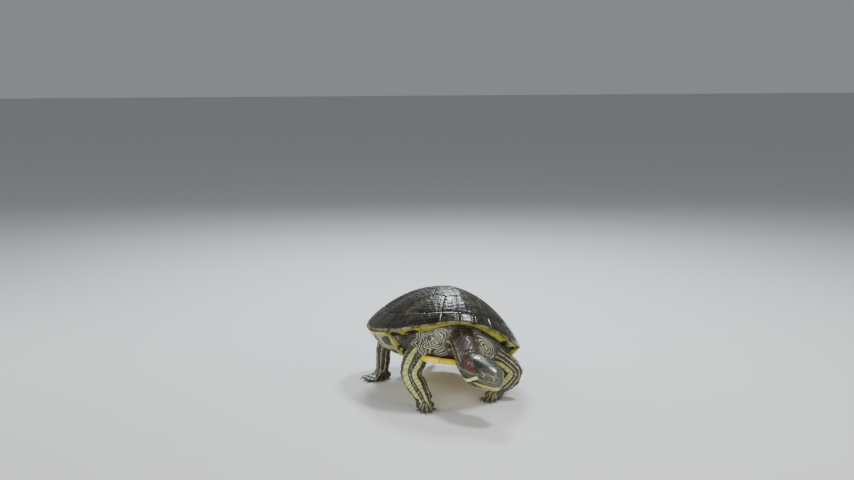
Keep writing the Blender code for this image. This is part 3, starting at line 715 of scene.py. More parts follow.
def marginalStrip(low, high, seed):
    # one marginal: down the outside, round the lip, in along the wedge and up the inside
    middle, halfSpan = 0.5 * (low + high), 0.5 * (high - low)
    columns = max(8, int(2 * halfSpan * 0.46 * size / (marginals["columnStep"] * mm)))
    rim = rimAt(np.array([middle]))[0]
    radius = math.hypot(rim[0], rim[1])
    gap = plates["gap"] * mm / radius
    angle = np.linspace(low + gap, high - gap, columns + 1)
    sideway = np.minimum(angle - low, high - angle) * radius / mm
    across = np.abs(angle - middle) / halfSpan
    dip = marginals["seamDip"] * mm * np.clip(1 - sideway / marginals["dipWidth"], 0, 1) ** 2
    start = bandShare(angle) + gap
    rows, under, growth = [], [], []

    def addRow(points, underShare, growthShare):
        rows.append(points)
        under.append(np.full(len(angle), underShare))
        growth.append(growthShare)

    for v in np.linspace(0, 1, marginals["outerRows"]) ** 0.9:
        t = start + (1.0 - start) * v
        edge = np.minimum(sideway, (t - start) * radius / mm * 1.3)
        share = np.clip(np.maximum(across, 1 - v), 0, 1)
        lift = plateHeights(share, edge, domeAt(angle, t)[:, :2], seed)
        lift = lift * (1 - 0.6 * smoothStep(v, 0.8, 1.0))
        normal = domeNormal(angle, np.minimum(t, shell["nearRim"]))
        addRow(domeAt(angle, t) + normal * lift[:, None], v - 1.0, share)
    lipEnd = marginals["lipEnd"]
    outer, lip, corner = rows[-1], shelfPoint(angle, lipEnd), shelfPoint(angle, 0.0)
    for v in np.linspace(0, 1, marginals["lipRows"] + 2)[1:-1]:
        control = 1.6 * corner - 0.3 * (outer + lip)    # pulls the lip out to the rim's corner
        point = outer * (1 - v) ** 2 + control * 2 * v * (1 - v) + lip * v * v
        point[:, 2] += dip * v
        addRow(point, 0.2 * v, across)
    for v in np.linspace(0, 1, marginals["shelfRows"]):
        point = shelfPoint(angle, lipEnd + (1 - lipEnd) * v)
        point[:, 2] += dip - marginals["shelfSwell"] * mm * math.sin(math.pi * v) * (1 - across ** 4)
        addRow(point, 0.2 + 0.8 * v, across)
    inner = rows[-1]
    top = insideDome(angle, marginals["innerEnd"], shell["wall"] * mm)
    for v in np.linspace(0, 1, marginals["innerRows"] + 1)[1:]:
        addRow(inner * (1 - v) + top * v, 1.0 + 0.2 * v, across)
    # back inside the wall to the start, so that the plate is closed
    addRow(insideDome(angle, marginals["innerEnd"] + 0.01, marginals["outerBack"] * mm), 1.2, across)
    addRow(insideDome(angle, start, marginals["topBack"] * mm), -1.0, np.ones(len(angle)))
    return rows, under, growth, (angle - middle) / halfSpan


def makeMarginals(name, spans):
    allPoints, allFaces, underAll, growthAll, runAll = [], [], [], [], []
    first = 0
    for index, low, high in spans:
        rows, under, growth, sideways = marginalStrip(low, high, 40 + int(abs(index) * 2))
        count, depth = len(sideways), len(rows)
        for row in range(depth):
            a, b = first + row * count, first + (row + 1) % depth * count
            allFaces += [(a + k, a + k + 1, b + k + 1, b + k) for k in range(count - 1)]
        allFaces.append(tuple(first + row * count for row in range(depth)))
        allFaces.append(tuple(first + row * count + count - 1 for row in reversed(range(depth))))
        allPoints += rows
        underAll += under
        growthAll += growth
        runAll += [np.stack([sideways, np.full(count, float(index)), np.zeros(count)], 1)] * depth
        first += depth * count
    stacked = np.concatenate(allPoints)
    obj = meshObject(name, toWorld(stacked), allFaces, 50)
    store(obj, "under", np.concatenate(underAll))
    store(obj, "growth", np.concatenate(growthAll))
    store(obj, "rimRun", np.concatenate(runAll))
    store(obj, "shellPlace", stacked / mm)
    store(obj, "rimPlace", rimPlace(stacked))
    return outward(obj)


def marginalMaterial():
    s = Shader("marginalHorn")
    place = s.vector("shellPlace")
    under = s.attribute("under")
    growth = s.attribute("growth")
    run, index = s.split(s.vector("rimRun"))[:2]
    streaks = s.vector("rimPlace")
    fibre = s.noise(s.mapped(streaks, (0.7, 0.22, 0.4)), 1.2, 5, 0.6, 0.7)
    cloud = s.noise(place, 0.16, 4, 0.55, 0.8)
    top = s.tones(cloud, 0.35, 0.68, (0.007, 0.006, 0.004), (0.024, 0.020, 0.010))
    top = s.mix(s.remap(fibre, 0.52, 0.8, 0, 0.6), top, (0.046, 0.038, 0.016))
    # a thin pale line painted just above the free edge as the lip's highlight, and a paler band near some of
    # the seams
    edge = s.stripe(under, -0.05, 0.045, 0.03)
    top = s.mix(s.times(edge, s.remap(cloud, 0.40, 0.56, 0.10, 0.75)), top, (0.24, 0.21, 0.075))
    side = s.times(s.remap(growth, 0.93, 0.965), s.remap(fibre, 0.45, 0.62))
    top = s.mix(s.times(side, 0.30), top, (0.12, 0.10, 0.045))
    # underneath: olive yellow, with a dark blotch in a thin ring on each plate but the foremost
    wobble = s.noise(place, 0.35, 3, 0.5, 0.3)
    along = s.times(s.plus(s.times(run, s.math("SIGN", index)), -0.10), 0.84)
    depth = s.times(s.minus(under, 0.64), 1.55)
    reach = s.plus(s.reach(along, depth), s.swing(wobble, 0.5))
    rear = s.remap(s.size(index), 2.2, 2.8)
    blotch = s.times(s.remap(reach, 0.68, 0.60), rear)
    ring = s.times(s.stripe(reach, 0.86, 0.03, 0.03), rear)
    belly = s.tones(wobble, 0.3, 0.7, (0.21, 0.205, 0.028), (0.37, 0.36, 0.055))
    belly = s.mix(s.times(s.remap(fibre, 0.5, 0.8), 0.35), belly, (0.14, 0.13, 0.03))
    belly = s.mix(s.times(ring, 0.55), belly, (0.08, 0.075, 0.016))
    belly = s.mix(blotch, belly, (0.010, 0.009, 0.007))
    colour = s.tones(under, 0.0, 0.10, top, belly)
    seam = s.remap(growth, 0.975, 1.0)
    colour = s.mix(s.times(seam, 0.8), colour, (0.012, 0.010, 0.006))
    fine = s.noise(s.mapped(streaks, (1.6, 0.40, 0.9)), 1.3, 4, 0.6)
    rough = s.remap(cloud, 0.3, 0.7, 0.20, 0.38)
    return s.finish(colour, rough, fine, 0.04 * mm, coat=0.16, coatRough=0.08, specular=0.25)


wear(makeBone(), boneMaterial(), "carapace_horn", "carapace")
marginalSpans = {    # index, and the angles from which and to which each one reaches
    "marginals_left": [(k, seamAngles[k], seamAngles[k + 1]) for k in range(1, 13)],
    "marginals_right": [(-k, -seamAngles[k + 1], -seamAngles[k]) for k in range(1, 13)],
    "cervical": [(0, -seamAngles[1], seamAngles[1])],
}
marginalHorn = marginalMaterial()
for name, spans in marginalSpans.items():
    wear(makeMarginals(name, spans), marginalHorn, "carapace_horn")
print("marginals made")


plastron = {
    "columns": 420, "flatRows": 76, "bridgeRows": 26, "edgeRows": 6, "innerRows": 7, "flatEnd": 0.965,
    "frontPower": 0.45, "rearPower": 0.62, "wideAhead": 0.10,
    "notch": 3.2, "notchWidth": 4.5,    # between the anal plates, mm
    "bulge": 2.2, "innerBulge": 0.6,    # the bridge's roundness in mm, and its inside's share of that
    "bridgeLift": 0.4, "rimClear": 0.3,    # at the bridge's lower and upper end, mm
    "lipOut": 1.1, "lipUp": 0.5,    # the round free edge in front and behind, mm
    "groove": 0.38, "grooveWidth": 0.42, "swell": 0.10, "swellWidth": 2.5,
    # seams: y on the midline, y at the side and how far out that is, in shares of the length
    "seams": [(-0.345, -0.445, 0.111), (-0.262, -0.245, 0.262), (-0.105, -0.095, 0.268),
              (0.125, 0.165, 0.262), (0.262, 0.345, 0.225)],
    "ends": (-0.46, 0.46), "halfAcross": 0.13,
    "bridgeSeam": 0.46,    # the seam along the bridge, as a share of its height
    "bridgePlate": 12.5, "bridgeHeight": 16,   # mm for one marginal's length and for the bridge's height
}


def plastronEdge(angle):
    a = wrapped(angle)
    c, s = np.cos(a), np.sin(a)
    half, front, rear = [shell[k] * size for k in ("plastronHalf", "plastronFront", "plastronRear")]
    frontX = half * signedPower(s, plastron["frontPower"])
    rearX = half * signedPower(s, plastron["rearPower"]) * (1 + plastron["wideAhead"] * c)
    x = np.where(c > 0, frontX, rearX)
    notch = plastron["notch"] * mm * hump(x, 0, plastron["notchWidth"] * mm)
    return x, np.where(c > 0, -front * c, -rear * c - notch)


def bridgePoint(angle, reach, inset):
    x0, y0 = plastronEdge(angle)
    rim = rimAt(angle)
    low = np.stack([x0, y0, np.zeros_like(x0)], 1) * (1 - inset / np.hypot(x0, y0))[:, None]
    lift = plastron["bridgeLift"] * mm
    low[:, 2] = -shell["plastronDrop"] * size + (inset if inset > 0 else lift)
    scale = 1 - (plastron["rimClear"] * mm + 0.6 * inset) / np.hypot(rim[:, 0], rim[:, 1])
    high = drawnIn(rim, scale, -lift)
    share = (reach * bridgeShare(angle))[:, None]
    point = low + (high - low) * share
    bulge = plastron["bulge"] * (plastron["innerBulge"] if inset > 0 else 1.0)
    point[:, 2] -= bulge * mm * np.sin(math.pi * share[:, 0])
    return point


def plastronSeams(x, y):
    # the way to the nearest seam, the plate's number, the place on it from -1 to 1 each way, and its length
    ax, ys = np.abs(x) / size, y / size
    away = ax * size / mm
    first, last = plastron["ends"]
    level = [np.full_like(ys, first)]
    for middle, side, out in plastron["seams"]:
        line = middle + (side - middle) * np.clip(ax / out, 0, 1.3) ** 1.3
        level.append(line)
        away = np.minimum(away, np.abs(ys - line) * size / mm)
    level = np.array(level + [np.full_like(ys, last)])
    index = np.clip((ys[None] > level).sum(axis=0) - 1, 0, 5)
    low = np.take_along_axis(level, index[None], 0)[0]
    high = np.take_along_axis(level, index[None] + 1, 0)[0]
    v = (ys - 0.5 * (low + high)) / np.maximum(0.5 * (high - low), 1e-4)
    return away, index, ax / plastron["halfAcross"] - 1, v, (high - low) * size / mm


def plastronRows(angle):
    # from the middle of the flat underside out, up the bridge, over the edge and back inside
    count = len(angle)
    x0, y0 = plastronEdge(angle)
    floorLevel = -shell["plastronDrop"] * size
    inset = shell["plastronWall"] * mm
    rows, reachOf = [], []

    def addRow(points, reach):
        rows.append(points)
        reachOf.append(reach)

    corner = np.stack([x0, y0, np.full(count, floorLevel)], 1)
    for share in np.linspace(0.012, plastron["flatEnd"], plastron["flatRows"]):
        addRow(drawnIn(corner, share), 0.0)
    before, after = rows[-1], bridgePoint(angle, 0.04, 0.0)
    for v in (0.33, 0.66):    # round the corner
        addRow(before * (1 - v) ** 2 + corner * 2 * v * (1 - v) + after * v * v, 0.0)
    for reach in np.linspace(0.04, 1.0, plastron["bridgeRows"]):
        addRow(bridgePoint(angle, reach, 0.0), reach)
    outer, inner = rows[-1], bridgePoint(angle, 1.0, inset)
    lipFull = (1 - np.clip(bridgeShare(angle) * 1.3, 0, 1))[:, None]
    away = unit(np.stack([x0, y0, np.zeros(count)], 1))
    for v in np.linspace(0, 1, plastron["edgeRows"] + 2)[1:-1]:
        bulge = away * plastron["lipOut"] + np.array([0, 0, plastron["lipUp"]])
        addRow(outer * (1 - v) + inner * v + bulge * mm * math.sin(math.pi * v) * lipFull, 1.0)
    outerRows = len(rows)
    for reach in np.linspace(1.0, 0.0, plastron["innerRows"]):
        addRow(bridgePoint(angle, reach, inset), reach)
    inner = rows[-1] * [1, 1, 0]
    for share in (0.85, 0.6, 0.3, 0.08):
        addRow(drawnIn(inner, share, floorLevel + inset), 0.0)
    isOuter = np.arange(len(rows)) < outerRows
    poles = [[0, 0, floorLevel], [0, 0, floorLevel + inset]]
    return np.concatenate(rows + [poles]), np.repeat(reachOf, count), np.repeat(isOuter, count), len(rows)


def makePlastron():
    count = plastron["columns"]
    # columns are spread evenly along the plate's own edge
    fine = np.linspace(-math.pi, math.pi, 4001)
    ex, ey = plastronEdge(fine * 0.99999)
    run = np.concatenate([[0], np.cumsum(np.hypot(np.diff(ex), np.diff(ey)))])
    angle = np.interp(np.linspace(0, run[-1], count, endpoint=False), run, fine)
    points, reach, isOuter, rowCount = plastronRows(angle)
    flat = points[:-2]
    side = np.tile(angle, rowCount)
    bridge = np.clip((bridgeShare(side) - 0.1) / 0.5, 0, 1) * reach
    seam, index, u, v, length = plastronSeams(flat[:, 0], flat[:, 1])
    marginIndex = np.interp(np.abs(side), seamAngles, np.arange(len(seamAngles)))
    nearMargin = np.abs(marginIndex - np.round(marginIndex)) * plastron["bridgePlate"]
    split = plastron["bridgeSeam"]
    onUpper = smoothStep(bridge, split - 0.03, split + 0.03)
    alongBridge = np.abs(bridge - split) * plastron["bridgeHeight"]
    seam = np.where(bridge > 0.08, np.minimum(seam * (1 - onUpper) + nearMargin * onUpper, alongBridge), seam)
    groove = plastron["groove"] * hump(seam, 0, plastron["grooveWidth"]) * isOuter
    swell = plastron["swell"] * (1 - hump(seam, 0, plastron["swellWidth"]))
    faces = closedFaces(rowCount, count, len(points) - 2, len(points) - 1)
    obj = outward(meshObject("plastron_plates", toWorld(points), faces, 0))
    rise = np.concatenate([swell - groove, [0, 0]]) * mm
    writePoints(obj.data, toWorld(points) + readNormals(obj.data) * rise[:, None])

    def withPoles(values):
        return np.concatenate([values, values[[0, -1]]])

    store(obj, "bridge", withPoles(bridge))
    store(obj, "scutePlace", withPoles(np.stack([u, v, np.zeros(len(u))], 1)))
    store(obj, "seamRun", withPoles(np.stack([marginIndex, index + 0.5 + 0.5 * v, length], 1)))
    store(obj, "shellPlace", points / mm)
    return obj


def plastronMaterial():
    s = Shader("plastronHorn")
    place = s.vector("shellPlace")
    x, y = s.split(place)[:2]
    bridge = s.attribute("bridge")
    u, v = s.split(s.vector("scutePlace"))[:2]
    run, along, length = s.split(s.vector("seamRun"))
    cloud = s.noise(place, 0.13, 4, 0.55, 0.5)
    wobble = s.noise(place, 0.30, 4, 0.55, 0.5)
    fibre = s.noise(s.mapped(place, (0.25, 1.1, 0.6)), 1.4, 4, 0.6, 0.4)
    colour = s.tones(cloud, 0.35, 0.65, (0.70, 0.47, 0.018), (0.84, 0.65, 0.050))
    colour = s.mix(s.remap(fibre, 0.5, 0.85, 0, 0.30), colour, (0.50, 0.24, 0.02))
    olive = s.tones(wobble, 0.35, 0.65, (0.19, 0.185, 0.026), (0.31, 0.295, 0.052))
    colour = s.tones(bridge, 0.02, 0.30, colour, olive)
    # one dark smudge with a paler heart on each flat plate, clear of the front lip
    reach = s.plus(s.reach(u, v), s.swing(wobble, 1.3))
    smudge = s.times(s.remap(reach, 0.62, 0.48), s.remap(y, -46.0, -38.0))
    smudge = s.times(smudge, s.remap(bridge, 0.22, 0.05))
    heart = s.remap(reach, 0.30, 0.12, 0, 0.75)
    dark = s.mix(heart, (0.030, 0.022, 0.012), (0.24, 0.15, 0.035))
    colour = s.mix(s.times(smudge, 0.93), colour, dark)
    # the bridge: long dark blotches, one under each marginal
    inPlate = s.size(s.minus(s.math("FRACT", s.plus(run, 0.15)), 0.5))
    offUpper = s.times(s.size(s.minus(bridge, 0.72)), 2.0)
    offLower = s.times(s.size(s.minus(bridge, 0.27)), 2.5)
    spot = s.reach(inPlate, s.math("MINIMUM", offUpper, offLower))
    spot = s.plus(spot, s.swing(wobble, 0.75))
    blotch = s.times(s.remap(spot, 0.38, 0.30), s.remap(bridge, 0.08, 0.16))
    colour = s.mix(blotch, colour, (0.014, 0.013, 0.009))
    # thin dark seams: crosswise and along the middle, and between the bridge's plates
    crossing = s.times(s.toWhole(along), length)
    flat = s.math("MINIMUM", crossing, s.size(x))
    split = plastron["bridgeSeam"]
    upper = s.times(s.toWhole(run), plastron["bridgePlate"])
    seam = s.mixValue(s.remap(bridge, split - 0.03, split + 0.03), flat, upper)
    between = s.times(s.size(s.minus(bridge, split)), plastron["bridgeHeight"])
    seam = s.math("MINIMUM", seam, s.plus(between, s.remap(bridge, 0.12, 0.06, 0, 9)))
    line = s.remap(seam, 0.36, 0.14)
    colour = s.mix(s.times(line, 0.85), colour, (0.075, 0.030, 0.010))
    fine = s.noise(s.mapped(place, (0.8, 1.2, 0.9)), 1.8, 4, 0.6)
    rough = s.mixValue(blotch, s.remap(cloud, 0.3, 0.7, 0.22, 0.40), 0.6)
    return s.finish(colour, rough, fine, 0.06 * mm, coat=0.16, coatRough=0.12, specular=0.3)


wear(makePlastron(), plastronMaterial(), "plastron_horn", "plastron")
print("plastron made")


skin = {
    "voxel": 0.78, "swell": 0.30, "smoothRounds": 5, "jointRounds": 60, "springBack": 0.47,
    "rung": 2.15,    # ring to ring of the folds across the legs, mm
    "headFine": 19.0,    # mesh is twice as fine within this reach of the head's middle, mm
    "legFine": 11.5, "footFine": 16.5,
    "hiddenKeep": 0.06,    # share of faces kept where the shell hides the skin
    "lidSphere": 2.78,    # radius of the closed lids over an eye, mm
    "clawCut": 0.2,    # the toes end this far inside the claws' roots, mm
    "legAway": (12.5, 10.0),   # the skin belongs to a limb within this reach of its middle line, mm
    "foreFrom": 0.34, "hindFrom": 0.42,    # where a limb begins, as shares of its line
    "footHigh": (8.5, 5.5), "footLong": 19,
    "shoulderReach": 15.0, "wristReach": 8.0, "jointFull": 0.45,    # how far the joints are smoothed, mm
    "wristHold": (0.96, 1.03), "wristFrom": (0.60, 0.68), "wristLift": (5.0, 7.5), "wristWithin": 11,
    "webAway": 0.42,    # half the pale line on each digit, mm
}
trunk = {    # the flesh that the shell hides, in mm, and in degrees from the front
    "columns": 120, "clear": 0.35, "plateClear": 0.3, "flank": 3.5, "skirt": 1.3,
    "frontPocket": (0.96, 40, 50, 67, 76), "rearPocket": (0.90, 106, 116, 130, 138),    # fill, from, full, to
    "pocketFold": 0.78, "pocketDrop": 0.5, "pocketTurn": 0.6,
}
headPose = {"yaw": 23, "pitch": 12, "roll": 3, "eye": (5.1, -7.0, 1.6), "eyeRadius": 2.6}
fleshNodes = ["trunk", "neck", "head", "lower_jaw", "tail"]
for side in ("left", "right"):
    for part in ("upper_arm", "forearm", "forefoot", "thigh", "shank", "hindfoot"):
        fleshNodes.append(f"{part}_{side}")

legs = {    # joints in mm before the footprint was centred, heading and spread of the digits in degrees
    "foreleg_right": {
        "joints": [(-14, -27, 33), (-24, -40, 31), (-30.5, -46, 21), (-25.5, -50, 11.5), (-22.5, -53, 5)],
        "heading": -94, "spread": 36, "reach": 12.5, "digits": range(5),
        "ovals": [(0.6, 0.7, 0.85, 1.0), (6.8, 6.2, 5.4, 5.2), (5.8, 5.0, 4.0, 3.4)]},
    "foreleg_left": {
        "joints": [(14, -24, 28.5), (27.5, -34.5, 25.5), (37.5, -37, 16.5),
                   (30.5, -38, 8.6), (23.5, -38.5, 4.8)],
        "heading": -126, "spread": 36, "reach": 12.5, "digits": range(5),
        "ovals": [(0.6, 0.7, 0.85, 1.0), (6.2, 6.0, 5.4, 5.2), (5.2, 5.0, 4.0, 3.4)]},
    "hindleg_right": {
        "joints": [(-13, 37, 30), (-28, 30, 29), (-35.2, 25, 21), (-35.2, 26.5, 11), (-36, 27.5, 5)],
        "heading": -140, "spread": 46, "reach": 15.5, "digits": range(0, 4),
        "ovals": [(0.6, 0.75, 0.9, 1.0), (5.7, 4.9, 4.8, 5.0), (5.2, 4.5, 3.9, 3.6)]},
    "hindleg_left": {
        "joints": [(13, 37, 25), (28, 31, 21), (36.8, 27, 14), (37.5, 30, 8), (37.5, 31, 4.6)],
        "heading": -42, "spread": 46, "reach": 15.5, "digits": range(1, 5),
        "ovals": [(0.6, 0.8, 0.9, 1.0), (5.8, 4.9, 4.8, 5.0), (5.2, 4.5, 3.9, 3.6)]},
}
footOf = {"forefoot_left": "foreleg_left", "forefoot_right": "foreleg_right",
          "hindfoot_left": "hindleg_left", "hindfoot_right": "hindleg_right"}


def heelOf(leg):
    x, y = leg["joints"][-1][:2]
    return np.array([x, y, 0.0]) * mm + footprint


def digitReach(leg, k):
    # the middle digits are the longest; k may lie between two digits
    return leg["reach"] * (1 - 0.13 * np.abs(k - 2) ** 1.3)


def digitPlace(points, leg):
    # which digit a point of a foot is nearest to, as a number, and how far out it is in mm
    away = (points - heelOf(leg)) / mm
    turn = np.arctan2(away[:, 1], away[:, 0]) - math.radians(leg["heading"])
    return 2 * (wrapped(turn) / math.radians(leg["spread"]) + 1), np.hypot(away[:, 0], away[:, 1])


def headTurn():
    turn = Euler((math.radians(headPose["pitch"]), 0, 0)).to_matrix()
    yaw = Matrix.Rotation(math.radians(headPose["yaw"]), 3, "Z")
    roll = Matrix.Rotation(math.radians(headPose["roll"]), 3, "Y")
    return np.array(yaw @ turn @ roll)


def eyeCentre(side):
    low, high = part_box("eye_" + side)
    return np.array((low + high) / 2)


def findHeadOrigin():
    # the eyes' own solids say where the head is
    across = 0.5 * (eyeCentre("left") + eyeCentre("right"))
    return across - headTurn() @ (np.array([0, *headPose["eye"][1:]]) * mm)


headOrigin = findHeadOrigin()


def toHead(points):
    # in mm: x to its left, y backwards, z up, from the middle of the head
    return (np.asarray(points, float) - headOrigin) @ headTurn() / mm


def fromHead(points):
    return np.asarray(points, float) * mm @ headTurn().T + headOrigin


def fleshCopy(name):
    body = bmesh.new()
    body.from_mesh(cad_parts[name].data)
    bmesh.ops.remove_doubles(body, verts=body.verts, dist=0.002 * mm)
    body.normal_update()
    if name in footOf:
        # the claws are pressed back to the toe tips, because they are pieces of their own
        leg = legs[footOf[name]]
        points = np.array([v.co[:] for v in body.verts])
        k, out = digitPlace(points, leg)
        most = digitReach(leg, np.clip(k, -0.4, 4.4)) - skin["clawCut"]
        heel = Vector(heelOf(leg))
        for vertex, far, limit in zip(body.verts, out, most):
            if far > limit:
                vertex.co.xy = heel.xy + (vertex.co - heel).xy * (limit / far)
    for vertex in body.verts:
        vertex.co += vertex.normal * skin["swell"] * mm
    return body


def trunkFill():
    # flesh right up to the shell's inner faces, so that no gap shows beside the bridge
    count = trunk["columns"]
    angle = np.linspace(0, 2 * math.pi, count, endpoint=False)
    depth = (shell["wall"] + trunk["clear"]) * mm
    inset, skirt = (shell["plastronWall"] + trunk["plateClear"]) * mm, trunk["skirt"] * mm
    openEnd = (1 - np.clip(bridgeShare(angle) * 1.2, 0, 1))[:, None]
    x, y = plastronEdge(angle)
    low = np.stack([x * 0.9, y * 0.9, np.full(count, -shell["plastronDrop"] * size + inset)], 1)
    rows = [insideDome(angle, t, depth) for t in (0.2, 0.5, 0.72, 0.86)]
    high = rows[-1]
    # loose skin fills the pockets before and behind the bridge nearly out to its ends
    degrees = np.degrees(np.abs(wrapped(angle)))
    pocket = np.zeros(count)
    for fill, begins, full, still, ends in (trunk["frontPocket"], trunk["rearPocket"]):
        pocket = pocket + fill * smoothStep(degrees, begins, full) * smoothStep(degrees, ends, still)
    pocket = pocket[:, None]
    upper = shelfPoint(angle, trunk["pocketFold"]) - np.array([0, 0, trunk["pocketDrop"] * mm])
    ledge = bridgePoint(angle, 1.0, skirt)
    turn = trunk["pocketTurn"]
    for u, reach in ((0.2, 0.85), (0.4, 0.65), (0.6, 0.45), (0.8, 0.22), (1.0, 0.0)):
        point = high + (low - high) * u
        flat = np.hypot(point[:, 0], point[:, 1])
        swell = 1 + trunk["flank"] * mm * openEnd[:, 0] * math.sin(math.pi * u) / flat
        point[:, :2] *= swell[:, None]
        point = point * openEnd + bridgePoint(angle, reach, inset) * (1 - openEnd)
        down = upper + (ledge - upper) * min(u / turn, 1.0)
        inside = bridgePoint(angle, 1 - max(u - turn, 0) / (1 - turn), skirt)
        rows.append(point * (1 - pocket) + (down if u <= turn else inside) * pocket)
    rows.append(drawnIn(low, 0.5))
    poles = [[0, 0, 0.24 * size], [0, 0, low[0, 2]]]
    points = np.concatenate(rows + [poles])
    return toWorld(points), closedFaces(len(rows), count, len(points) - 2, len(points) - 1)


def joinFlesh():
    joined = bmesh.new()
    for name in fleshNodes:
        body = fleshCopy(name)
        scratch = bpy.data.meshes.new("scratch")
        body.to_mesh(scratch)
        joined.from_mesh(scratch)
        body.free()
        bpy.data.meshes.remove(scratch)
    points, faces = trunkFill()
    made = [joined.verts.new(p) for p in points]
    for face in faces:
        joined.faces.new([made[k] for k in face])
    for side in ("left", "right"):
        lids = bmesh.ops.create_icosphere(joined, subdivisions=3, radius=skin["lidSphere"] * mm)
        bmesh.ops.translate(joined, verts=lids["verts"], vec=Vector(eyeCentre(side)))
    bmesh.ops.recalc_face_normals(joined, faces=joined.faces)
    mesh = bpy.data.meshes.new("skin")
    joined.to_mesh(mesh)
    joined.free()
    obj = bpy.data.objects.new("skin", mesh)
    bpy.context.scene.collection.objects.link(obj)
    return obj


def applyModifiers(obj):
    graph = bpy.context.evaluated_depsgraph_get()
    mesh = bpy.data.meshes.new_from_object(obj.evaluated_get(graph))
    obj.modifiers.clear()
    obj.data = mesh


def smoothPoints(points, edges, weight, rounds, springBack=skin["springBack"]):
    # each point moves towards the mean of its neighbours, then part of the way back to keep the volume
    degree = np.maximum(np.bincount(edges.ravel(), minlength=len(points)), 1)[:, None]
    for push in [0.5, -springBack] * rounds if springBack else [0.5] * rounds:
        total = np.zeros_like(points)
        for axis in range(3):
            total[:, axis] = (np.bincount(edges[:, 0], points[edges[:, 1], axis], len(points))
                              + np.bincount(edges[:, 1], points[edges[:, 0], axis], len(points)))
        points = points + (total / degree - points) * push * weight[:, None]
    return points


def isHidden(points):
    # well inside the shell, where nothing can be seen
    p = toShell(points)
    angle, t = planToDome(p[:, 0], p[:, 1])
    x, y = plastronEdge(angle)
    inPlate = np.hypot(p[:, 0], p[:, 1]) / np.maximum(np.hypot(x, y), 1e-6)
    closed = bridgeShare(angle) > 0.93
    inside = (p[:, 2] > -shell["plastronDrop"] * size) & (p[:, 2] < domeAt(angle, np.minimum(t, 1))[:, 2])
    deep = ((t < 0.70) & (inPlate < 0.80)) | (closed & (t < 0.93))
    return inside & deep


def smoothRun(joints):
    # the middle line of a limb, 60 points between two joints, eased the way the solids' own line is
    joints = np.array(joints, float)
    shares = np.arange(60)[:, None] / 60
    pieces = [a + (b - a) * shares for a, b in zip(joints[:-1], joints[1:])]
    line = np.concatenate(pieces + [joints[-1:]])
    for step in range(400):
        line[1:-1] += 0.5 * (0.5 * (line[:-2] + line[2:]) - line[1:-1])
    return line * mm + footprint


def nearestOnLimb(points, line):
    # for each point: the nearest place on the line, the way out from it and the line's direction there
    best = np.full(len(points), 1e9)
    index = np.zeros(len(points), int)
    for k in range(0, len(line), 2):
        away = np.linalg.norm(points - line[k], axis=1)
        closer = away < best
        best[closer] = away[closer]
        index[closer] = k
    along = unit(np.gradient(line, axis=0))[index]
    out = points - line[index]
    out = out - along * np.sum(out * along, axis=1)[:, None]
    return index, out, along, best / mm


def alongLimb(points, line, reference):
    # run and distance in mm, and the turn about the limb from a reference direction
    index, out, along, away = nearestOnLimb(points, line)
    step = np.linalg.norm(np.diff(line, axis=0), axis=1)
    run = np.concatenate([[0], np.cumsum(step)]) / mm
    reference = np.array(reference, float)
    front = unit(reference - along * (along @ reference)[:, None])
    across = np.cross(front, along)
    turn = np.arctan2(np.sum(out * across, axis=1), np.sum(out * front, axis=1))
    return run[index], turn, away, run[-1]


def easeWrists(points):
    # the lower end of each limb is held close to a smooth oval, so that wrist and ankle have no step
    for name, leg in legs.items():
        line = limbLines[name]
        index, out, along, away = nearestOnLimb(points, line)
        share = index / (len(line) - 1)
        heading = math.radians(leg["heading"])
        side = np.array([math.sin(heading), -math.cos(heading), 0.0])
        side = unit(side - along * (along @ side)[:, None])
        a = np.sum(out * side, axis=1)
        b = np.linalg.norm(out - side * a[:, None], axis=1)
        wide = np.interp(share, leg["ovals"][0], leg["ovals"][1]) * mm
        deep = np.interp(share, leg["ovals"][0], leg["ovals"][2]) * mm
        oval = np.maximum(np.hypot(a / wide, b / deep), 1e-3)
        held = np.clip(oval, *skin["wristHold"]) / oval
        amount = smoothStep(share, *skin["wristFrom"]) * (away < skin["wristWithin"])
        amount = amount * smoothStep(points[:, 2] / mm, *skin["wristLift"])
        points = points + out * ((held - 1) * amount)[:, None]
    return points


limbLines = {name: smoothRun(leg["joints"]) for name, leg in legs.items()}


def isFine(points):
    # where the mesh is made twice as fine: head, forelegs and feet
    fine = np.linalg.norm(toHead(points) - [0, -1, -1], axis=1) < skin["headFine"]
    for name, leg in legs.items():
        fine |= np.linalg.norm(points - heelOf(leg), axis=1) < skin["footFine"] * mm
        if "fore" in name:
            for place in limbLines[name][50::12]:
                fine |= np.linalg.norm(points - place, axis=1) < skin["legFine"] * mm
    return fine & ~isHidden(points)


def jointShare(points):
    # shoulders, hips, wrists and ankles, where the skin runs smoothly from one part to the next
    share = np.zeros(len(points))
    for leg in legs.values():
        for joint, reach in ((1, skin["shoulderReach"]), (3, skin["wristReach"])):
            place = leg["joints"][joint]
            away = np.linalg.norm(points - footprint - np.array(place) * mm, axis=1) / mm
            share = np.maximum(share, smoothStep(away, reach, reach * skin["jointFull"]))
    nape = np.linalg.norm(toHead(points) - [0, 14.5, -1.5], axis=1)
    return np.maximum(share, smoothStep(nape, 15, 6))


def thinHidden(obj):
    # coarse where the shell hides it
    group = obj.vertex_groups.new(name="hidden")
    hidden = isHidden(readPoints(obj.data))
    group.add([int(k) for k in np.nonzero(hidden)[0]], 1.0, "REPLACE")
    thin = obj.modifiers.new("thin", "DECIMATE")
    thin.vertex_group = "hidden"
    thin.ratio = 1 - (1 - skin["hiddenKeep"]) * float(hidden.mean())
    thin.vertex_group_factor = 1.0
    applyModifiers(obj)
    obj.vertex_groups.clear()


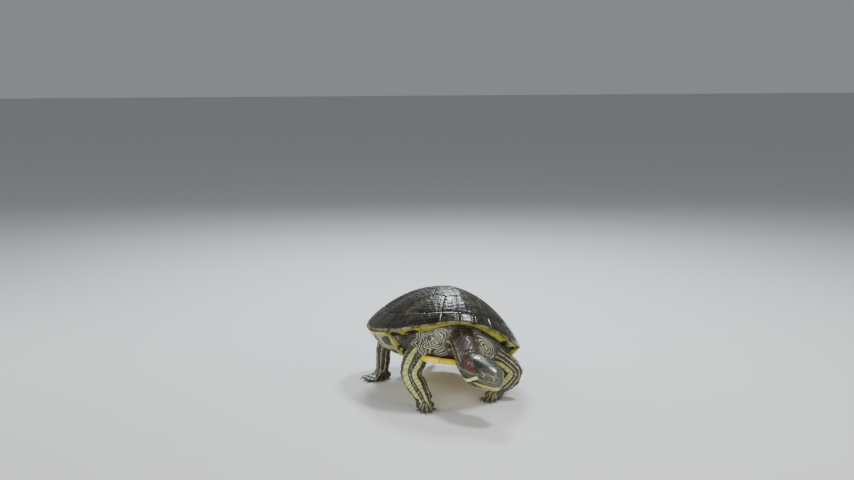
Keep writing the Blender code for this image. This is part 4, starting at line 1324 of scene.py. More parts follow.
def refine(obj):
    # twice as fine where it is looked at closely
    body = bmesh.new()
    body.from_mesh(obj.data)
    body.edges.ensure_lookup_table()
    middle = np.array([0.5 * (e.verts[0].co + e.verts[1].co) for e in body.edges])
    near = [body.edges[int(k)] for k in np.nonzero(isFine(middle))[0]]
    bmesh.ops.subdivide_edges(body, edges=near, cuts=1, use_grid_fill=True)
    bmesh.ops.triangulate(body, faces=[f for f in body.faces if len(f.verts) > 4])
    body.to_mesh(obj.data)
    body.free()
    points = readPoints(obj.data)
    writePoints(obj.data, smoothPoints(points, readEdges(obj.data), isFine(points), 4))


def makeSkinMesh():
    obj = joinFlesh()
    voxels = obj.modifiers.new("voxels", "REMESH")
    voxels.mode = "VOXEL"
    voxels.voxel_size = skin["voxel"] * mm
    applyModifiers(obj)
    print("skin voxels:", len(obj.data.vertices))
    points, edges = readPoints(obj.data), readEdges(obj.data)
    everywhere = np.ones(len(points))
    points = smoothPoints(points, edges, everywhere, skin["smoothRounds"])
    points = smoothPoints(points, edges, jointShare(points), skin["jointRounds"], springBack=0)
    writePoints(obj.data, points)
    points = easeWrists(points - readNormals(obj.data) * skin["swell"] * mm)
    writePoints(obj.data, smoothPoints(points, edges, everywhere, 3))
    thinHidden(obj)
    refine(obj)
    obj.data.calc_loop_triangles()
    print("skin points:", len(obj.data.vertices), "triangles:", len(obj.data.loop_triangles))
    return obj


face = {    # mm in the head's own frame: x to its left, y backwards, z up
    "eyeOut": (1.0, -0.22, 0.10),    # the way an eye looks
    "lidWidth": 2.15, "lidHeight": 1.55, "lidSink": 0.9, "lidProud": 0.10, "lidReach": 4.6,
    "lidRounds": [(1.15, 0.28, -0.16), (1.75, 0.30, 0.07)],    # way from the opening, width and height
    "lidRim": (0.28, 0.26, 0.20),
    "mouth": [(-18, -2.9), (-13, -3.4), (-7, -4.0), (-1, -4.5), (1.6, -5.0)],
    "mouthRounds": [(0.0, 0.38, -0.62), (0.75, 0.45, 0.14), (-0.70, 0.40, -0.12)],    # gape, beak, lower jaw
    "nostril": (1.15, -15.1, 1.5), "nostrilSize": 0.42, "nostrilDeep": 0.55, "nostrilRim": 0.10,
    "ear": (5.6, 0.2), "earDish": (1.8, 3.0, -0.16), "earRim": (3.3, 0.5, 0.10),
    # swellings along runs, each with its width and height: nostril to eye, brow, behind the jaws
    "runs": [([(-14.4, 2.5), (-12.0, 3.0), (-9.8, 3.3)], 0.55, 0.24),
             ([(-9.8, 3.3), (-8.4, 4.1), (-6.4, 4.3), (-4.4, 3.7)], 0.60, 0.26),
             ([(-4.0, -1.4), (-3.4, -3.6)], 1.2, -0.20)],
    # swellings about a place: the hollow before the eye and the cheek
    "spots": [((-11.6, 0.9), (1.5, 1.0), -0.26), ((1.2, -2.4), (2.6, 1.7), 0.16)],
    "throat": (9.5, 0.9, -0.30),
}


def eyeAxes(side):
    # outwards, forwards and up across one eye, in head space
    sign = 1 if side == "left" else -1
    out = unit(np.array([sign, 1, 1]) * face["eyeOut"])
    ahead = np.array([0.0, -1.0, 0.0])
    ahead = unit(ahead - out * (ahead @ out))
    return out, ahead, np.cross(ahead, out) * sign


def eyePlace(side):
    return toHead(eyeCentre(side)[None])[0]


def lidShape(head, side):
    # how far a point is outside the opening between the lids, in mm; negative inside it
    out, ahead, up = eyeAxes(side)
    away = head - eyePlace(side)
    depth, u, v = away @ out, away @ ahead, away @ up
    u = u * (1 + 0.06 * np.sign(u))
    share = u / face["lidWidth"]
    pointed = 1 + 0.10 * share ** 2
    return (np.hypot(share, v / face["lidHeight"]) * pointed - 1) * face["lidHeight"], depth, u, v


def openEyes(head):
    for side in ("left", "right"):
        outside, depth, u, v = lidShape(head, side)
        near = (depth > 0.2) & (np.hypot(u, v) < face["lidReach"])
        ball = np.sqrt(np.maximum(headPose["eyeRadius"] ** 2 - u * u - v * v, 0))
        sunk = ball - face["lidSink"]
        middle, width, height = face["lidRim"]
        raised = depth + height * hump(outside, middle, width)
        raised = np.maximum(raised, (ball + face["lidProud"]) * (outside < 0.5))
        for middle, width, height in face["lidRounds"]:
            raised = raised + height * hump(outside, middle, width)
        share = smoothStep(outside, -0.20, 0.04)
        wanted = np.where(near, raised * share + sunk * (1 - share), depth)
        head = head + (wanted - depth)[:, None] * eyeAxes(side)[0]
    return head


def mouthLevel(y):
    return np.interp(y, *zip(*face["mouth"]))


def shapeMouth(head, normal):
    # the gape is a fine groove with the horny upper beak a little proud of the lower one
    y = head[:, 1]
    off = head[:, 2] - mouthLevel(y)
    run = smoothStep(y, 2.6, 0.6) * smoothStep(np.abs(normal[:, 2]), 0.97, 0.75)
    rise = sum(height * hump(off, middle, width) for middle, width, height in face["mouthRounds"])
    return head + normal * (rise * run)[:, None]


def shapeNostrils(head):
    x, y, z = face["nostril"]
    wide = face["nostrilSize"]
    for sign in (1, -1):
        away = np.linalg.norm(head - np.array([sign * x, y, z]), axis=1)
        pit = face["nostrilDeep"] * smoothStep(away, wide + 0.22, wide - 0.18)
        rim = face["nostrilRim"] * hump(away, wide + 0.35, 0.2)
        head = head + (pit - rim)[:, None] * np.array([0, 0.96, -0.1])
    return head


def shapeEars(head, normal):
    # a shallow round drum behind each eye, with a low ridge round it
    full, none, deep = face["earDish"]
    ridgeAt, ridgeWidth, ridge = face["earRim"]
    for sign in (1, -1):
        away = np.hypot(head[:, 1] - face["ear"][0], head[:, 2] - face["ear"][1])
        rise = deep * smoothStep(away, none, full) + ridge * hump(away, ridgeAt, ridgeWidth)
        head = head + normal * np.where(head[:, 0] * sign > 3, rise, 0.0)[:, None]
    return head


def shapeFace(head, normal):
    x, y, z = np.abs(head[:, 0]), head[:, 1], head[:, 2]
    rise = np.zeros(len(y))
    for run, width, height in face["runs"]:
        rise += height * hump(wayToRun(y, z, run), 0, width)
    for middle, widths, height in face["spots"]:
        rise += height * hump(y, middle[0], widths[0]) * hump(z, middle[1], widths[1])
    at, width, height = face["throat"]
    throat = height * hump(y + 0.5 * z, at, width) * smoothStep(z, -3.0, -6.0)
    return head + normal * (rise * smoothStep(x, 1.2, 2.4) + throat)[:, None]


def crease(value, pitch, sharp):
    # 1 along thin creases, 0 on the rounds between them
    return (0.5 + 0.5 * np.cos(2 * math.pi * value / pitch)) ** sharp


def softNoise(place, length, seed, waves=16):
    # a smooth random field from a fixed sum of waves
    rng = np.random.default_rng(seed)
    total = np.zeros(len(place))
    for wave in range(waves):
        way = rng.normal(size=3)
        way = way / np.linalg.norm(way) / (length * rng.uniform(0.7, 1.6))
        total += np.sin(2 * math.pi * (place @ way) + rng.uniform(0, 2 * math.pi))
    return total / math.sqrt(waves / 2)


skinObject = makeSkinMesh()
marksEnd = 9.0    # mm from a stripe, from where on it no longer matters
headMarks = {    # runs of (back, up) on the side of the head, then half widths, all in mm
    "bright": [([(-3.4, -1.7), (-0.6, -3.7), (3.0, -6.0), (6.6, -7.3), (11.4, -8.1)], 0.80)],
    "fine": [
        ([(9.6, -9.4), (0.1, -9.1), (-4.7, -8.3), (-10.2, -6.5)], 0.34),
        ([(-4.2, 0.6), (1.0, -0.6), (6.0, -1.4), (14.5, -2.4)], 0.26),
        ([(-14.6, 2.6), (-12.4, 2.7), (-9.9, 2.5)], 0.20),
        ([(-15.2, -0.4), (-11.5, -0.9), (-7.0, -1.9), (-3.4, -1.7)], 0.24),
    ],
    "red": {"back": 4.9, "up": 3.0, "long": 5.6, "high": 2.0, "slope": 0.17},
    "chinBand": (-2.5, -0.35),
}
neckMarks = [(-150, 0.3), (-118, 0.4), (-84, 0.55), (-56, 0.26),
             (56, 0.26), (84, 0.55), (118, 0.4), (150, 0.3)]
legMarks = {    # turn from the front in degrees, half width in mm
    "foreleg_right": {
        "wide": [(-52, 1.75), (12, 1.45)],
        "fine": [(-96, 0.35), (-122, 0.3), (-19, 0.14), (58, 0.3), (92, 0.35), (140, 0.4)]},
    "foreleg_left": {
        "wide": [(-30, 1.55)],
        "fine": [(4, 0.36), (29, 0.34), (54, 0.34), (82, 0.3), (-76, 0.35), (-112, 0.3)]},
    "hindleg_right": {
        "wide": [],
        "fine": [(10, 0.36), (-28, 0.3), (-70, 0.3), (55, 0.3), (110, 0.4), (150, 0.35)]},
    "hindleg_left": {
        "wide": [],
        "fine": [(-10, 0.36), (28, 0.3), (70, 0.3), (-55, 0.3), (-110, 0.4), (-150, 0.35)]},
}
tailMarks = [(-128, 0.4), (-62, 0.3), (62, 0.3), (128, 0.4)]


def wayToRun(y, z, run):
    best = np.full(len(y), 1e3)
    for (ay, az), (by, bz) in zip(run[:-1], run[1:]):
        wy, wz = by - ay, bz - az
        share = np.clip(((y - ay) * wy + (z - az) * wz) / (wy * wy + wz * wz), 0, 1)
        best = np.minimum(best, np.hypot(y - ay - share * wy, z - az - share * wz))
    return best


def aroundMarks(turn, radius, marks):
    # way in mm from the edge of the nearest stripe, negative on it
    best = np.full(len(turn), 1e3)
    for degrees, half in marks:
        best = np.minimum(best, np.abs(wrapped(turn - math.radians(degrees))) * radius - half)
    return best


def fromShell(x, y, z):
    # a place in shares of the shell's length, in mm before the footprint was centred
    return (toWorld(np.array([[x, y, z]]) * size)[0] - footprint) / mm


nape = (fromHead(np.array([[0, 16.0, -1.0]]))[0] - footprint) / mm
neckLine = smoothRun([fromShell(0, -0.24, 0.02), fromShell(0, -0.43, -0.005), nape])
tailLine = smoothRun([fromShell(0, 0.33, -0.05), fromShell(0, 0.45, -0.075), (3.5, 61, 10.5), (9, 70, 3.2)])


def measureTrunk(points, m):
    # how far each place belongs to the head, neck and tail, and the lines that run along them
    m["neckRun"], m["neckTurn"], neckAway, neckLong = alongLimb(points, neckLine, (0, 0, 1))
    tailRun, tailTurn, tailAway, tailLong = alongLimb(points, tailLine, (0, 0, 1))
    head = m["head"]
    m["isHead"] = smoothStep(head[:, 1], 15.0, 11.0) * (np.linalg.norm(head - [0, -1, -1], axis=1) < 24)
    m["neckShare"] = m["neckRun"] / neckLong
    inFront = smoothStep(m["neckRun"], 0.46 * neckLong, 0.60 * neckLong)
    m["isNeck"] = smoothStep(neckAway, 11.5, 9.0) * inFront * (1 - m["isHead"])
    m["isTail"] = smoothStep(tailAway, 7.0, 5.0) * smoothStep(tailRun, 0.25 * tailLong, 0.4 * tailLong)
    onNeck = np.minimum(m["fine"], aroundMarks(m["neckTurn"], neckAway, neckMarks))
    m["fine"] = np.where(m["isNeck"] > 0.3, onNeck, m["fine"])
    onTail = np.minimum(m["fine"], aroundMarks(tailTurn, tailAway, tailMarks))
    m["fine"] = np.where(m["isTail"] > 0.3, onTail, m["fine"])


def measureLeg(points, m, name):
    leg = legs[name]
    run, turn, away, long = alongLimb(points, limbLines[name], (0, -1, 0))
    begins = skin["foreFrom"] if "fore" in name else skin["hindFrom"]
    here = smoothStep(away, *skin["legAway"]) * smoothStep(run, begins * long, (begins + 0.12) * long)
    digit, out = digitPlace(points, leg)
    low = points[:, 2] / mm
    foot = np.maximum(smoothStep(low, *skin["footHigh"]) * smoothStep(out, 3.0, 5.5), low < 4.0)
    foot = foot * (out < skin["footLong"])
    here = np.maximum(here, foot)
    m["isLeg"] = np.maximum(m["isLeg"], here)
    m["isFoot"] = np.maximum(m["isFoot"], foot)
    m["legRun"] = np.where(here > 0.02, run, m["legRun"])
    m["legTurn"] = np.where(here > 0.02, turn, m["legTurn"])
    radius = np.minimum(away, 8.0)
    onLimb = (here > 0.02) & (foot < 0.6)
    # the broad stripes narrow towards the foot and the body
    share = run / long
    narrow = 0.45 * smoothStep(share, 0.72, 0.95) + 0.5 * smoothStep(share, 0.48, 0.34)
    broad = aroundMarks(turn, radius, legMarks[name]["wide"]) + 1.75 * narrow
    m["wide"] = np.where(onLimb, np.minimum(m["wide"], broad), m["wide"])
    lines = aroundMarks(turn, radius, legMarks[name]["fine"])
    m["fine"] = np.where(onLimb, np.minimum(m["fine"], lines), m["fine"])
    # a pale line runs down each digit, and dark web lies between
    nearest = np.abs(digit - np.clip(np.round(digit), min(leg["digits"]), max(leg["digits"])))
    offDigit = nearest * math.radians(leg["spread"]) / 2 * out
    m["digit"] = np.where(foot > 0.3, np.minimum(m["digit"], offDigit - skin["webAway"]), m["digit"])


def measureHead(m):
    # the stripes, the red patch, the mouth and the chin
    x, y, z = np.abs(m["head"][:, 0]), m["head"][:, 1], m["head"][:, 2]
    onHead = m["isHead"] > 0.5
    for run, half in headMarks["bright"]:
        broad = np.minimum(m["wide"], wayToRun(y, z, run) - half)
        m["wide"] = np.where(m["isHead"] > 0.05, broad, m["wide"])
    lines = np.full(len(x), marksEnd)
    for run, half in headMarks["fine"]:
        lines = np.minimum(lines, wayToRun(y, z, run) - half)
    under = np.minimum(np.abs(x - 3.4) - 0.34, x - 0.30)
    lines = np.where((z < -7.2) & (y > -12), np.minimum(lines, under), lines)
    m["fine"] = np.where(onHead, np.where(x > 1.4, lines, marksEnd), m["fine"])
    red = headMarks["red"]
    back = (y - red["back"]) / red["long"]
    up = (z - red["up"] - red["slope"] * (y - red["back"])) / red["high"]
    m["red"] = np.where((m["isHead"] > 0.05) & (x > 4), np.hypot(back, up) - 1, 3.0)
    off = z - mouthLevel(y)
    low, high = headMarks["chinBand"]
    middle, half = 0.5 * (low + high), 0.5 * (high - low) * smoothStep(y, -0.5, -9.0) ** 0.5
    band = np.maximum(np.abs(off - middle - 0.35 * smoothStep(y, -6, -1)) - half, y + 1.5)
    m["chin"] = np.where(onHead, band, 3.0)
    m["gape"] = np.where(onHead, np.abs(off - 0.04) + 3 * smoothStep(y, 0.8, 2.4), 3.0)
    m["beak"] = m["isHead"] * smoothStep(y, -3.0, -8.0) * smoothStep(np.abs(off - 0.75), 0.75, 0.35)
    m["muzzle"] = m["isHead"] * smoothStep(y, -5.0, -9.5) * smoothStep(off, 0.0, 0.6)


def measureSkin(points):
    # everything the shaping and the material need to know about each place on the skin
    m = {"head": toHead(points), "shell": toShell(points) / mm}
    for name in ("isLeg", "isFoot", "legRun", "legTurn"):
        m[name] = np.zeros(len(points))
    for name in ("wide", "fine", "digit"):
        m[name] = np.full(len(points), marksEnd)
    measureTrunk(points, m)
    for name in legs:
        measureLeg(points, m, name)
    measureHead(m)
    for name in ("wide", "fine", "digit"):
        m[name] = np.clip(m[name], -3, marksEnd)
    m["bend"] = 0.9 * softNoise(points / mm, 9.0, 7)
    m["rung"] = (m["legRun"] + 0.30 * m["bend"] + 0.35 * np.cos(3 * m["legTurn"])) / skin["rung"]
    return m


folds = {    # depth in mm, pitch in mm (or in rungs on the legs) and how narrow the creases are
    "neckRings": (0.26, 2.5, 3.0), "neckLines": (0.10, 1.9, 2.0), "legs": (0.20, 1.0, 9.0),
    "rump": (0.16, 2.6, 2.0), "tail": (0.12, 1.6, 2.0),
    "neckRound": 7.6,    # the neck's radius, mm
    "rumpFrom": 38,    # so far behind the shell's middle, mm
}


def wrinkles(points, m):
    # how far the skin is raised, in mm: rings of folds on the neck, crosswise scales on the legs
    place, bend, back = points / mm, m["bend"], m["shell"][:, 1]
    rise = 0.10 * softNoise(place, 3.2, 5) + 0.05 * softNoise(place, 1.6, 6)
    rise = rise * (1 - 0.75 * m["isHead"]) * (1 - 0.6 * m["isFoot"])
    onRump = (back > folds["rumpFrom"]) * (1 - m["isLeg"]) * (1 - m["isTail"])
    for name, along, here in (
            ("neckRings", m["neckRun"] + bend, m["isNeck"]),
            ("neckLines", m["neckTurn"] * folds["neckRound"] + 0.4 * bend, m["isNeck"]),
            ("legs", m["rung"], m["isLeg"] * (1 - m["isFoot"])),
            ("rump", back + 0.6 * bend, onRump),
            ("tail", back * 1.1 + 0.2 * bend, m["isTail"])):
        depth, pitch, sharp = folds[name]
        rise = rise - depth * crease(along, pitch, sharp) * here
    return rise


whorls = [    # in the shell's own mm, but the lie in degrees; rings are wider within the change than beyond
    {"centre": (-16.3, -46.7, -4.2), "turn": 24, "stretch": 1.2, "reach": 10.4,
     "rings": (1.75, 1.15), "change": 3.4, "seed": 21},
    {"centre": (15.9, -47.4, -2.9), "turn": -43, "stretch": 2.5, "reach": 4.5,
     "rings": (1.35, 1.05), "change": 1.4, "seed": 22},
]


def whorlField(place, whorl):
    # rings about a middle on each shoulder, drawn out one way: their count, and the way past their edge
    dx, dz = place[:, 0] - whorl["centre"][0], place[:, 2] - whorl["centre"][2]
    c, s = math.cos(math.radians(whorl["turn"])), math.sin(math.radians(whorl["turn"]))
    along, across = dx * c + dz * s, dz * c - dx * s
    bend = softNoise(place * [1, 0, 1], 6.5, whorl["seed"], 8)
    out = np.hypot(along / whorl["stretch"], across) + 0.7 * bend * min(whorl["reach"] / 9.0, 1.0)
    inner, outer = whorl["rings"]
    change = whorl["change"]
    rings = np.where(out < change, out / inner, change / inner + (out - change) / outer)
    return rings, out - whorl["reach"]


def whorlRings(place):
    right, pastRight = whorlField(place, whorls[0])
    left, pastLeft = whorlField(place, whorls[1])
    isLeft = place[:, 0] > 0
    return np.where(isLeft, left, right), np.where(isLeft, pastLeft, pastRight)


def finishSkin(obj):
    points = readPoints(obj.data)
    m = measureSkin(points)
    rise = wrinkles(points, m) * ~isHidden(points)
    moved = points + readNormals(obj.data) * (rise * mm)[:, None]
    writePoints(obj.data, moved)
    near = m["isHead"] > 0.0
    h = toHead(moved[near])
    n = readNormals(obj.data)[near] @ headTurn()
    h = shapeFace(h, n)
    h = shapeMouth(h, n)
    h = shapeEars(h, n)
    h = shapeNostrils(h)
    h = openEyes(h)
    moved[near] = fromHead(h)
    moved[:, 2] = np.maximum(moved[:, 2], 0.0)
    writePoints(obj.data, moved)
    keepMeasures(obj, m)
    obj.data.shade_smooth()


def keepMeasures(obj, m):
    # what the skin's material reads at each place
    store(obj, "headSpace", m["head"])
    store(obj, "shellPlace", m["shell"])
    store(obj, "neckPlace", np.stack([m["neckTurn"] * 7.5, m["neckRun"], m["neckShare"]], 1))
    rings, past = whorlRings(m["shell"])
    store(obj, "whorl", rings)
    store(obj, "whorlPast", past)
    for name in ("isHead", "isNeck", "isLeg", "isFoot", "wide", "fine", "digit", "red", "chin", "muzzle",
                 "gape", "beak", "rung"):
        store(obj, name, m[name])


class SkinShader(Shader):
    # with what the parts of the skin's material share
    def __init__(self, name):
        super().__init__(name)
        for key in ("isHead", "isNeck", "isLeg", "isFoot", "muzzle", "onScale"):
            setattr(self, key, self.attribute(key))
        self.place = self.mapped(self.objectPlace(), (1000, 1000, 1000))
        self.back = self.split(self.vector("shellPlace"))[1]
        self.cloud = self.noise(self.place, 0.22, 4, 0.55, 0.4)
        self.grain = self.noise(self.place, 1.4, 4, 0.6, 0.2)
        self.ragged = self.swing(self.noise(self.place, 0.9, 3), 0.55)
        self.edge = self.cellEdges(self.place, 1.15)


def groundColour(s):
    # nearly black legs, a brown neck with pale streaks painted at its base as highlights on its folds, and an
    # olive head with a speckled muzzle
    dark = s.tones(s.cloud, 0.35, 0.68, (0.022, 0.018, 0.012), (0.050, 0.043, 0.028))
    dark = s.mix(s.remap(s.grain, 0.45, 0.75, 0, 0.6), dark, (0.085, 0.075, 0.050))
    brown = s.tones(s.cloud, 0.35, 0.7, (0.032, 0.020, 0.013), (0.070, 0.046, 0.032))
    colour = s.mix(s.isNeck, dark, brown)
    neckPlace = s.vector("neckPlace")
    # painted highlight: pale pinkish-grey streaks on the folds at the neck's base
    neckFoldHighlight = s.remap(s.noise(s.mapped(neckPlace, (1.0, 0.14, 0.0)), 0.75, 3), 0.52, 0.62)
    neckFoldHighlight = s.times(neckFoldHighlight, s.remap(s.split(neckPlace)[2], 0.78, 0.58), s.isNeck, 0.55)
    colour = s.mix(neckFoldHighlight, colour, (0.20, 0.165, 0.125))
    colour = s.mix(s.remap(s.back, 0.0, 22.0, 0.0, 0.45), colour, (0.012, 0.010, 0.007))
    olive = s.tones(s.cloud, 0.35, 0.65, (0.014, 0.017, 0.010), (0.045, 0.048, 0.028))
    colour = s.mix(s.isHead, colour, olive)
    muzzle = s.tones(s.grain, 0.38, 0.66, (0.030, 0.030, 0.020), (0.125, 0.120, 0.080))
    return s.mix(s.times(s.muzzle, 0.85), colour, muzzle)


def whorlShade(s):
    # ringed pale lines on the shoulders
    whorl = s.plus(s.attribute("whorl"), s.swing(s.noise(s.place, 0.34, 3), 1.3))
    wave = s.math("SINE", s.times(whorl, 2 * math.pi))
    toLeft = s.remap(s.split(s.vector("headSpace"))[0], -2.0, 2.0, 0.0, 0.25)
    lines = s.remap(s.plus(wave, toLeft), -0.02, 0.46)
    broken = s.remap(s.noise(s.place, 0.50, 3), 0.32, 0.46)
    patch = s.times(s.remap(s.attribute("whorlPast"), 0.6, -0.9), s.remap(s.isLeg, 0.75, 0.3))
    patch = s.times(patch, s.remap(s.isNeck, 0.35, 0.05), s.minus(1.0, s.isHead))
    return s.times(lines, broken, patch, s.remap(s.back, -30.0, -36.0))


def stripes(s, colour):
    # fine lines, broad stripes and each digit's pale line
    fine = s.remap(s.plus(s.attribute("fine"), s.ragged), 0.14, -0.12)
    fine = s.times(fine, s.remap(s.noise(s.place, 0.35, 2), 0.28, 0.46, 0.35, 0.95))
    fine = s.times(fine, s.remap(s.muzzle, 0.1, 0.7, 1.0, 0.55))
    colour = s.mix(fine, colour, s.mix(s.isHead, (0.40, 0.39, 0.17), (0.24, 0.26, 0.11)))
    wide = s.remap(s.plus(s.attribute("wide"), s.ragged), 0.16, -0.10)
    stripe = s.tones(s.grain, 0.3, 0.72, (0.40, 0.42, 0.12), (0.56, 0.58, 0.22))
    rungs = s.remap(s.math("COSINE", s.times(s.attribute("rung"), 2 * math.pi)), 0.86, 0.98)
    stripe = s.mix(s.times(rungs, s.isLeg, 0.75), stripe, (0.13, 0.13, 0.04))
    bright = s.tones(s.grain, 0.3, 0.7, (0.60, 0.66, 0.16), (0.74, 0.80, 0.28))
    colour = s.mix(wide, colour, s.mix(s.isHead, stripe, bright))
    digit = s.times(s.remap(s.plus(s.attribute("digit"), s.ragged), 0.22, -0.12), s.isFoot, 0.8)
    return s.mix(digit, colour, (0.38, 0.38, 0.22)), wide


def faceMarks(s, colour):
    # chin, red ear patch, the beak's pale edge and the dark gape
    chin = s.remap(s.plus(s.attribute("chin"), s.ragged), 0.18, -0.18)
    tan = s.tones(s.cloud, 0.3, 0.7, (0.34, 0.27, 0.075), (0.48, 0.42, 0.12))
    colour = s.mix(s.times(chin, 0.9), colour, tan)
    red = s.plus(s.attribute("red"), s.swing(s.noise(s.place, 0.5, 3), 0.9))
    redShade = s.tones(s.grain, 0.3, 0.7, (0.050, 0.006, 0.004), (0.150, 0.014, 0.008))
    colour = s.mix(s.times(s.remap(red, 0.30, -0.35), 0.95), colour, redShade)
    colour = s.mix(s.times(s.attribute("beak"), 0.6), colour, (0.17, 0.15, 0.075))
    return s.mix(s.remap(s.attribute("gape"), 0.42, 0.16, 0.0, 0.92), colour, (0.008, 0.006, 0.005))


def skinMaterial():
    s = SkinShader("wetSkin")
    whorled = whorlShade(s)
    cream = s.tones(s.grain, 0.3, 0.7, (0.40, 0.40, 0.25), (0.58, 0.58, 0.42))
    colour = s.mix(s.times(whorled, 0.92), groundColour(s), cream)
    colour, wide = stripes(s, colour)
    colour = faceMarks(s, colour)
    # darker between the scales
    between = s.times(s.remap(s.edge, 0.0, 0.16, 0.55, 0.0), s.remap(s.isHead, 0.2, 0.8, 1.0, 0.10))
    between = s.times(between, s.remap(wide, 0.2, 0.8, 1.0, 0.45), s.minus(1.0, s.onScale))
    between = s.math("MAXIMUM", between, s.remap(s.attribute("scaleEdge"), 0.78, 0.98, 0.0, 0.3))
    colour = s.mix(between, colour, (0.012, 0.010, 0.008))
    height = s.plus(s.remap(s.edge, 0.0, 0.22, 0.0, 0.75), s.times(s.grain, 0.5))
    height = s.times(height, s.remap(s.isHead, 0.2, 0.8, 1.0, 0.13), s.remap(s.onScale, 0, 1, 1.0, 0.25))
    height = s.plus(height, s.times(whorled, 0.7))
    rough = s.remap(s.noise(s.place, 0.6, 3), 0.3, 0.7, 0.30, 0.50)
    rough = s.minus(rough, s.times(s.isHead, 0.10))
    return s.finish(colour, rough, height, 0.12 * mm, coat=0.26, coatRough=0.16, specular=0.42)


finishSkin(skinObject)
skinLook = skinMaterial()
wear(skinObject, skinLook, "skin", *fleshNodes)
print("skin made")


eyes = {"rings": 30, "columns": 44, "iris": 1.62, "pupil": 0.72, "bar": 0.42}


def makeEye(side):
    out, ahead, up = eyeAxes(side)
    turns = np.linspace(0, 2 * math.pi, eyes["columns"], endpoint=False)
    bends = np.linspace(0, math.pi, eyes["rings"] + 2)[1:-1]
    radius = headPose["eyeRadius"]
    ring = np.stack([np.cos(turns), np.sin(turns), np.zeros_like(turns)], 1)
    rows = [radius * (math.sin(bend) * ring + [0, 0, math.cos(bend)]) for bend in bends]
    place = np.concatenate(rows + [[[0, 0, radius], [0, 0, -radius]]])
    points = fromHead(place @ np.array([ahead, up, out]) + eyePlace(side))
    faces = closedFaces(len(rows), len(turns), len(points) - 2, len(points) - 1)
    obj = outward(meshObject("eyeball_" + side, points, faces, 0))
    store(obj, "eyePlace", place)
    return obj


def eyeMaterial():
    s = Shader("wetEye")
    u, v, depth = s.split(s.vector("eyePlace"))
    reach = s.reach(u, v)
    reach = s.plus(reach, s.remap(depth, 0.0, -0.2, 0.0, 4.0))
    fleck = s.noise(s.vector("eyePlace"), 2.6, 4, 0.6)
    iris = s.tones(fleck, 0.35, 0.65, (0.06, 0.065, 0.014), (0.18, 0.185, 0.035))
    iris = s.mix(s.stripe(reach, eyes["pupil"] + 0.12, 0.07, 0.05), iris, (0.27, 0.27, 0.07))
    bar = s.times(s.remap(s.size(v), eyes["bar"] + 0.12, eyes["bar"] - 0.12),
                  s.remap(reach, eyes["pupil"] + 0.15, eyes["pupil"] + 0.4))
    iris = s.mix(s.times(bar, 0.92), iris, (0.012, 0.011, 0.006))
    colour = s.tones(reach, eyes["iris"] - 0.08, eyes["iris"] + 0.10, iris, (0.018, 0.016, 0.012))
    colour = s.tones(reach, eyes["pupil"], eyes["pupil"] - 0.08, colour, (0.002, 0.002, 0.002))
    return s.finish(colour, 0.08, coat=1.0, coatRough=0.02, specular=0.7)


eyeLook = eyeMaterial()
for side in ("left", "right"):
    wear(makeEye(side), eyeLook, "eye", "eye_" + side)
print("eyes made")


# what grows on the skin: a Geometry Nodes tree stands one shape on every root and makes it real
class Grower:
    def __init__(self, name, *sizes):
        self.tree = bpy.data.node_groups.new(name, "GeometryNodeTree")
        sockets = self.tree.interface
        sockets.new_socket("Geometry", in_out="INPUT", socket_type="NodeSocketGeometry")
        sockets.new_socket("Geometry", in_out="OUTPUT", socket_type="NodeSocketGeometry")
        for measure in sizes:
            sockets.new_socket(measure, in_out="INPUT", socket_type="NodeSocketFloat")
        self.inputs = self.tree.nodes.new("NodeGroupInput").outputs
        self.outputs = self.tree.nodes.new("NodeGroupOutput").inputs

    def add(self, kind, feeds=None, **settings):
        # feeds are sockets to link from, or plain values, by the input's name or number
        made = self.tree.nodes.new(kind)
        for key, value in settings.items():
            setattr(made, key, value)
        for socket, source in (feeds or {}).items():
            if isinstance(source, bpy.types.NodeSocket):
                self.tree.links.new(source, made.inputs[socket])
            else:
                made.inputs[socket].default_value = source
        return made.outputs[0]

    def math(self, operation, first, second):
        return self.add("ShaderNodeMath", {0: first, 1: second}, operation=operation)

    def times(self, first, second):
        return self.math("MULTIPLY", first, second)

    def vector(self, x, y, z):
        return self.add("ShaderNodeCombineXYZ", {0: x, 1: y, 2: z})

    def named(self, name, kind):
        return self.add("GeometryNodeInputNamedAttribute", {"Name": name}, data_type=kind)

    def onRoots(self, shape, material):
        turned = self.add("FunctionNodeEulerToRotation", {0: self.named("aim", "FLOAT_VECTOR")})
        spread = self.add("GeometryNodeInstanceOnPoints", {
            "Points": self.inputs["Geometry"], "Instance": shape, "Rotation": turned,
            "Scale": self.named("grow", "FLOAT_VECTOR")})
        real = self.add("GeometryNodeRealizeInstances", {0: spread})
        soft = self.add("GeometryNodeSetShadeSmooth", {0: real})
        dressed = self.add("GeometryNodeSetMaterial", {"Geometry": soft, "Material": material})
        self.tree.links.new(dressed, self.outputs["Geometry"])
        return self.tree


def grown(obj, tree, values, name):
    # runs a tree on an object and keeps the result as a plain mesh
    modifier = obj.modifiers.new("grow", "NODES")
    modifier.node_group = tree
    for item in tree.interface.items_tree:
        if item.item_type == "SOCKET" and item.in_out == "INPUT" and item.name in values:
            modifier[item.identifier] = values[item.name]
    applyModifiers(obj)
    obj.name = obj.data.name = name
    return obj


legScales = {
    "across": 2.3, "long": 2.35, "thick": 0.10, "dome": 0.13,
    "corner": 0.16,    # share by which the corners are drawn in
    "bow": 5.0,    # radius of the roundness across each one, mm
    "spacing": 0.96,    # side by side, as a share of their width
    "even": 0.965,    # the skin's mean normal is at least this long where one grows
    "low": -125, "high": 95,    # how far round the forelegs they reach, degrees from the front
    "sink": 0.03, "lift": 0.02,  # depth of the middle in mm, and how far the lower end stands off
    "neighbours": 7, "within": 0.5,    # points of the skin that carry one, the first within these mm
    "narrows": 0.18, "shortens": 0.06,    # towards the sides of the leg
    "bakePatch": 0.0015,
}


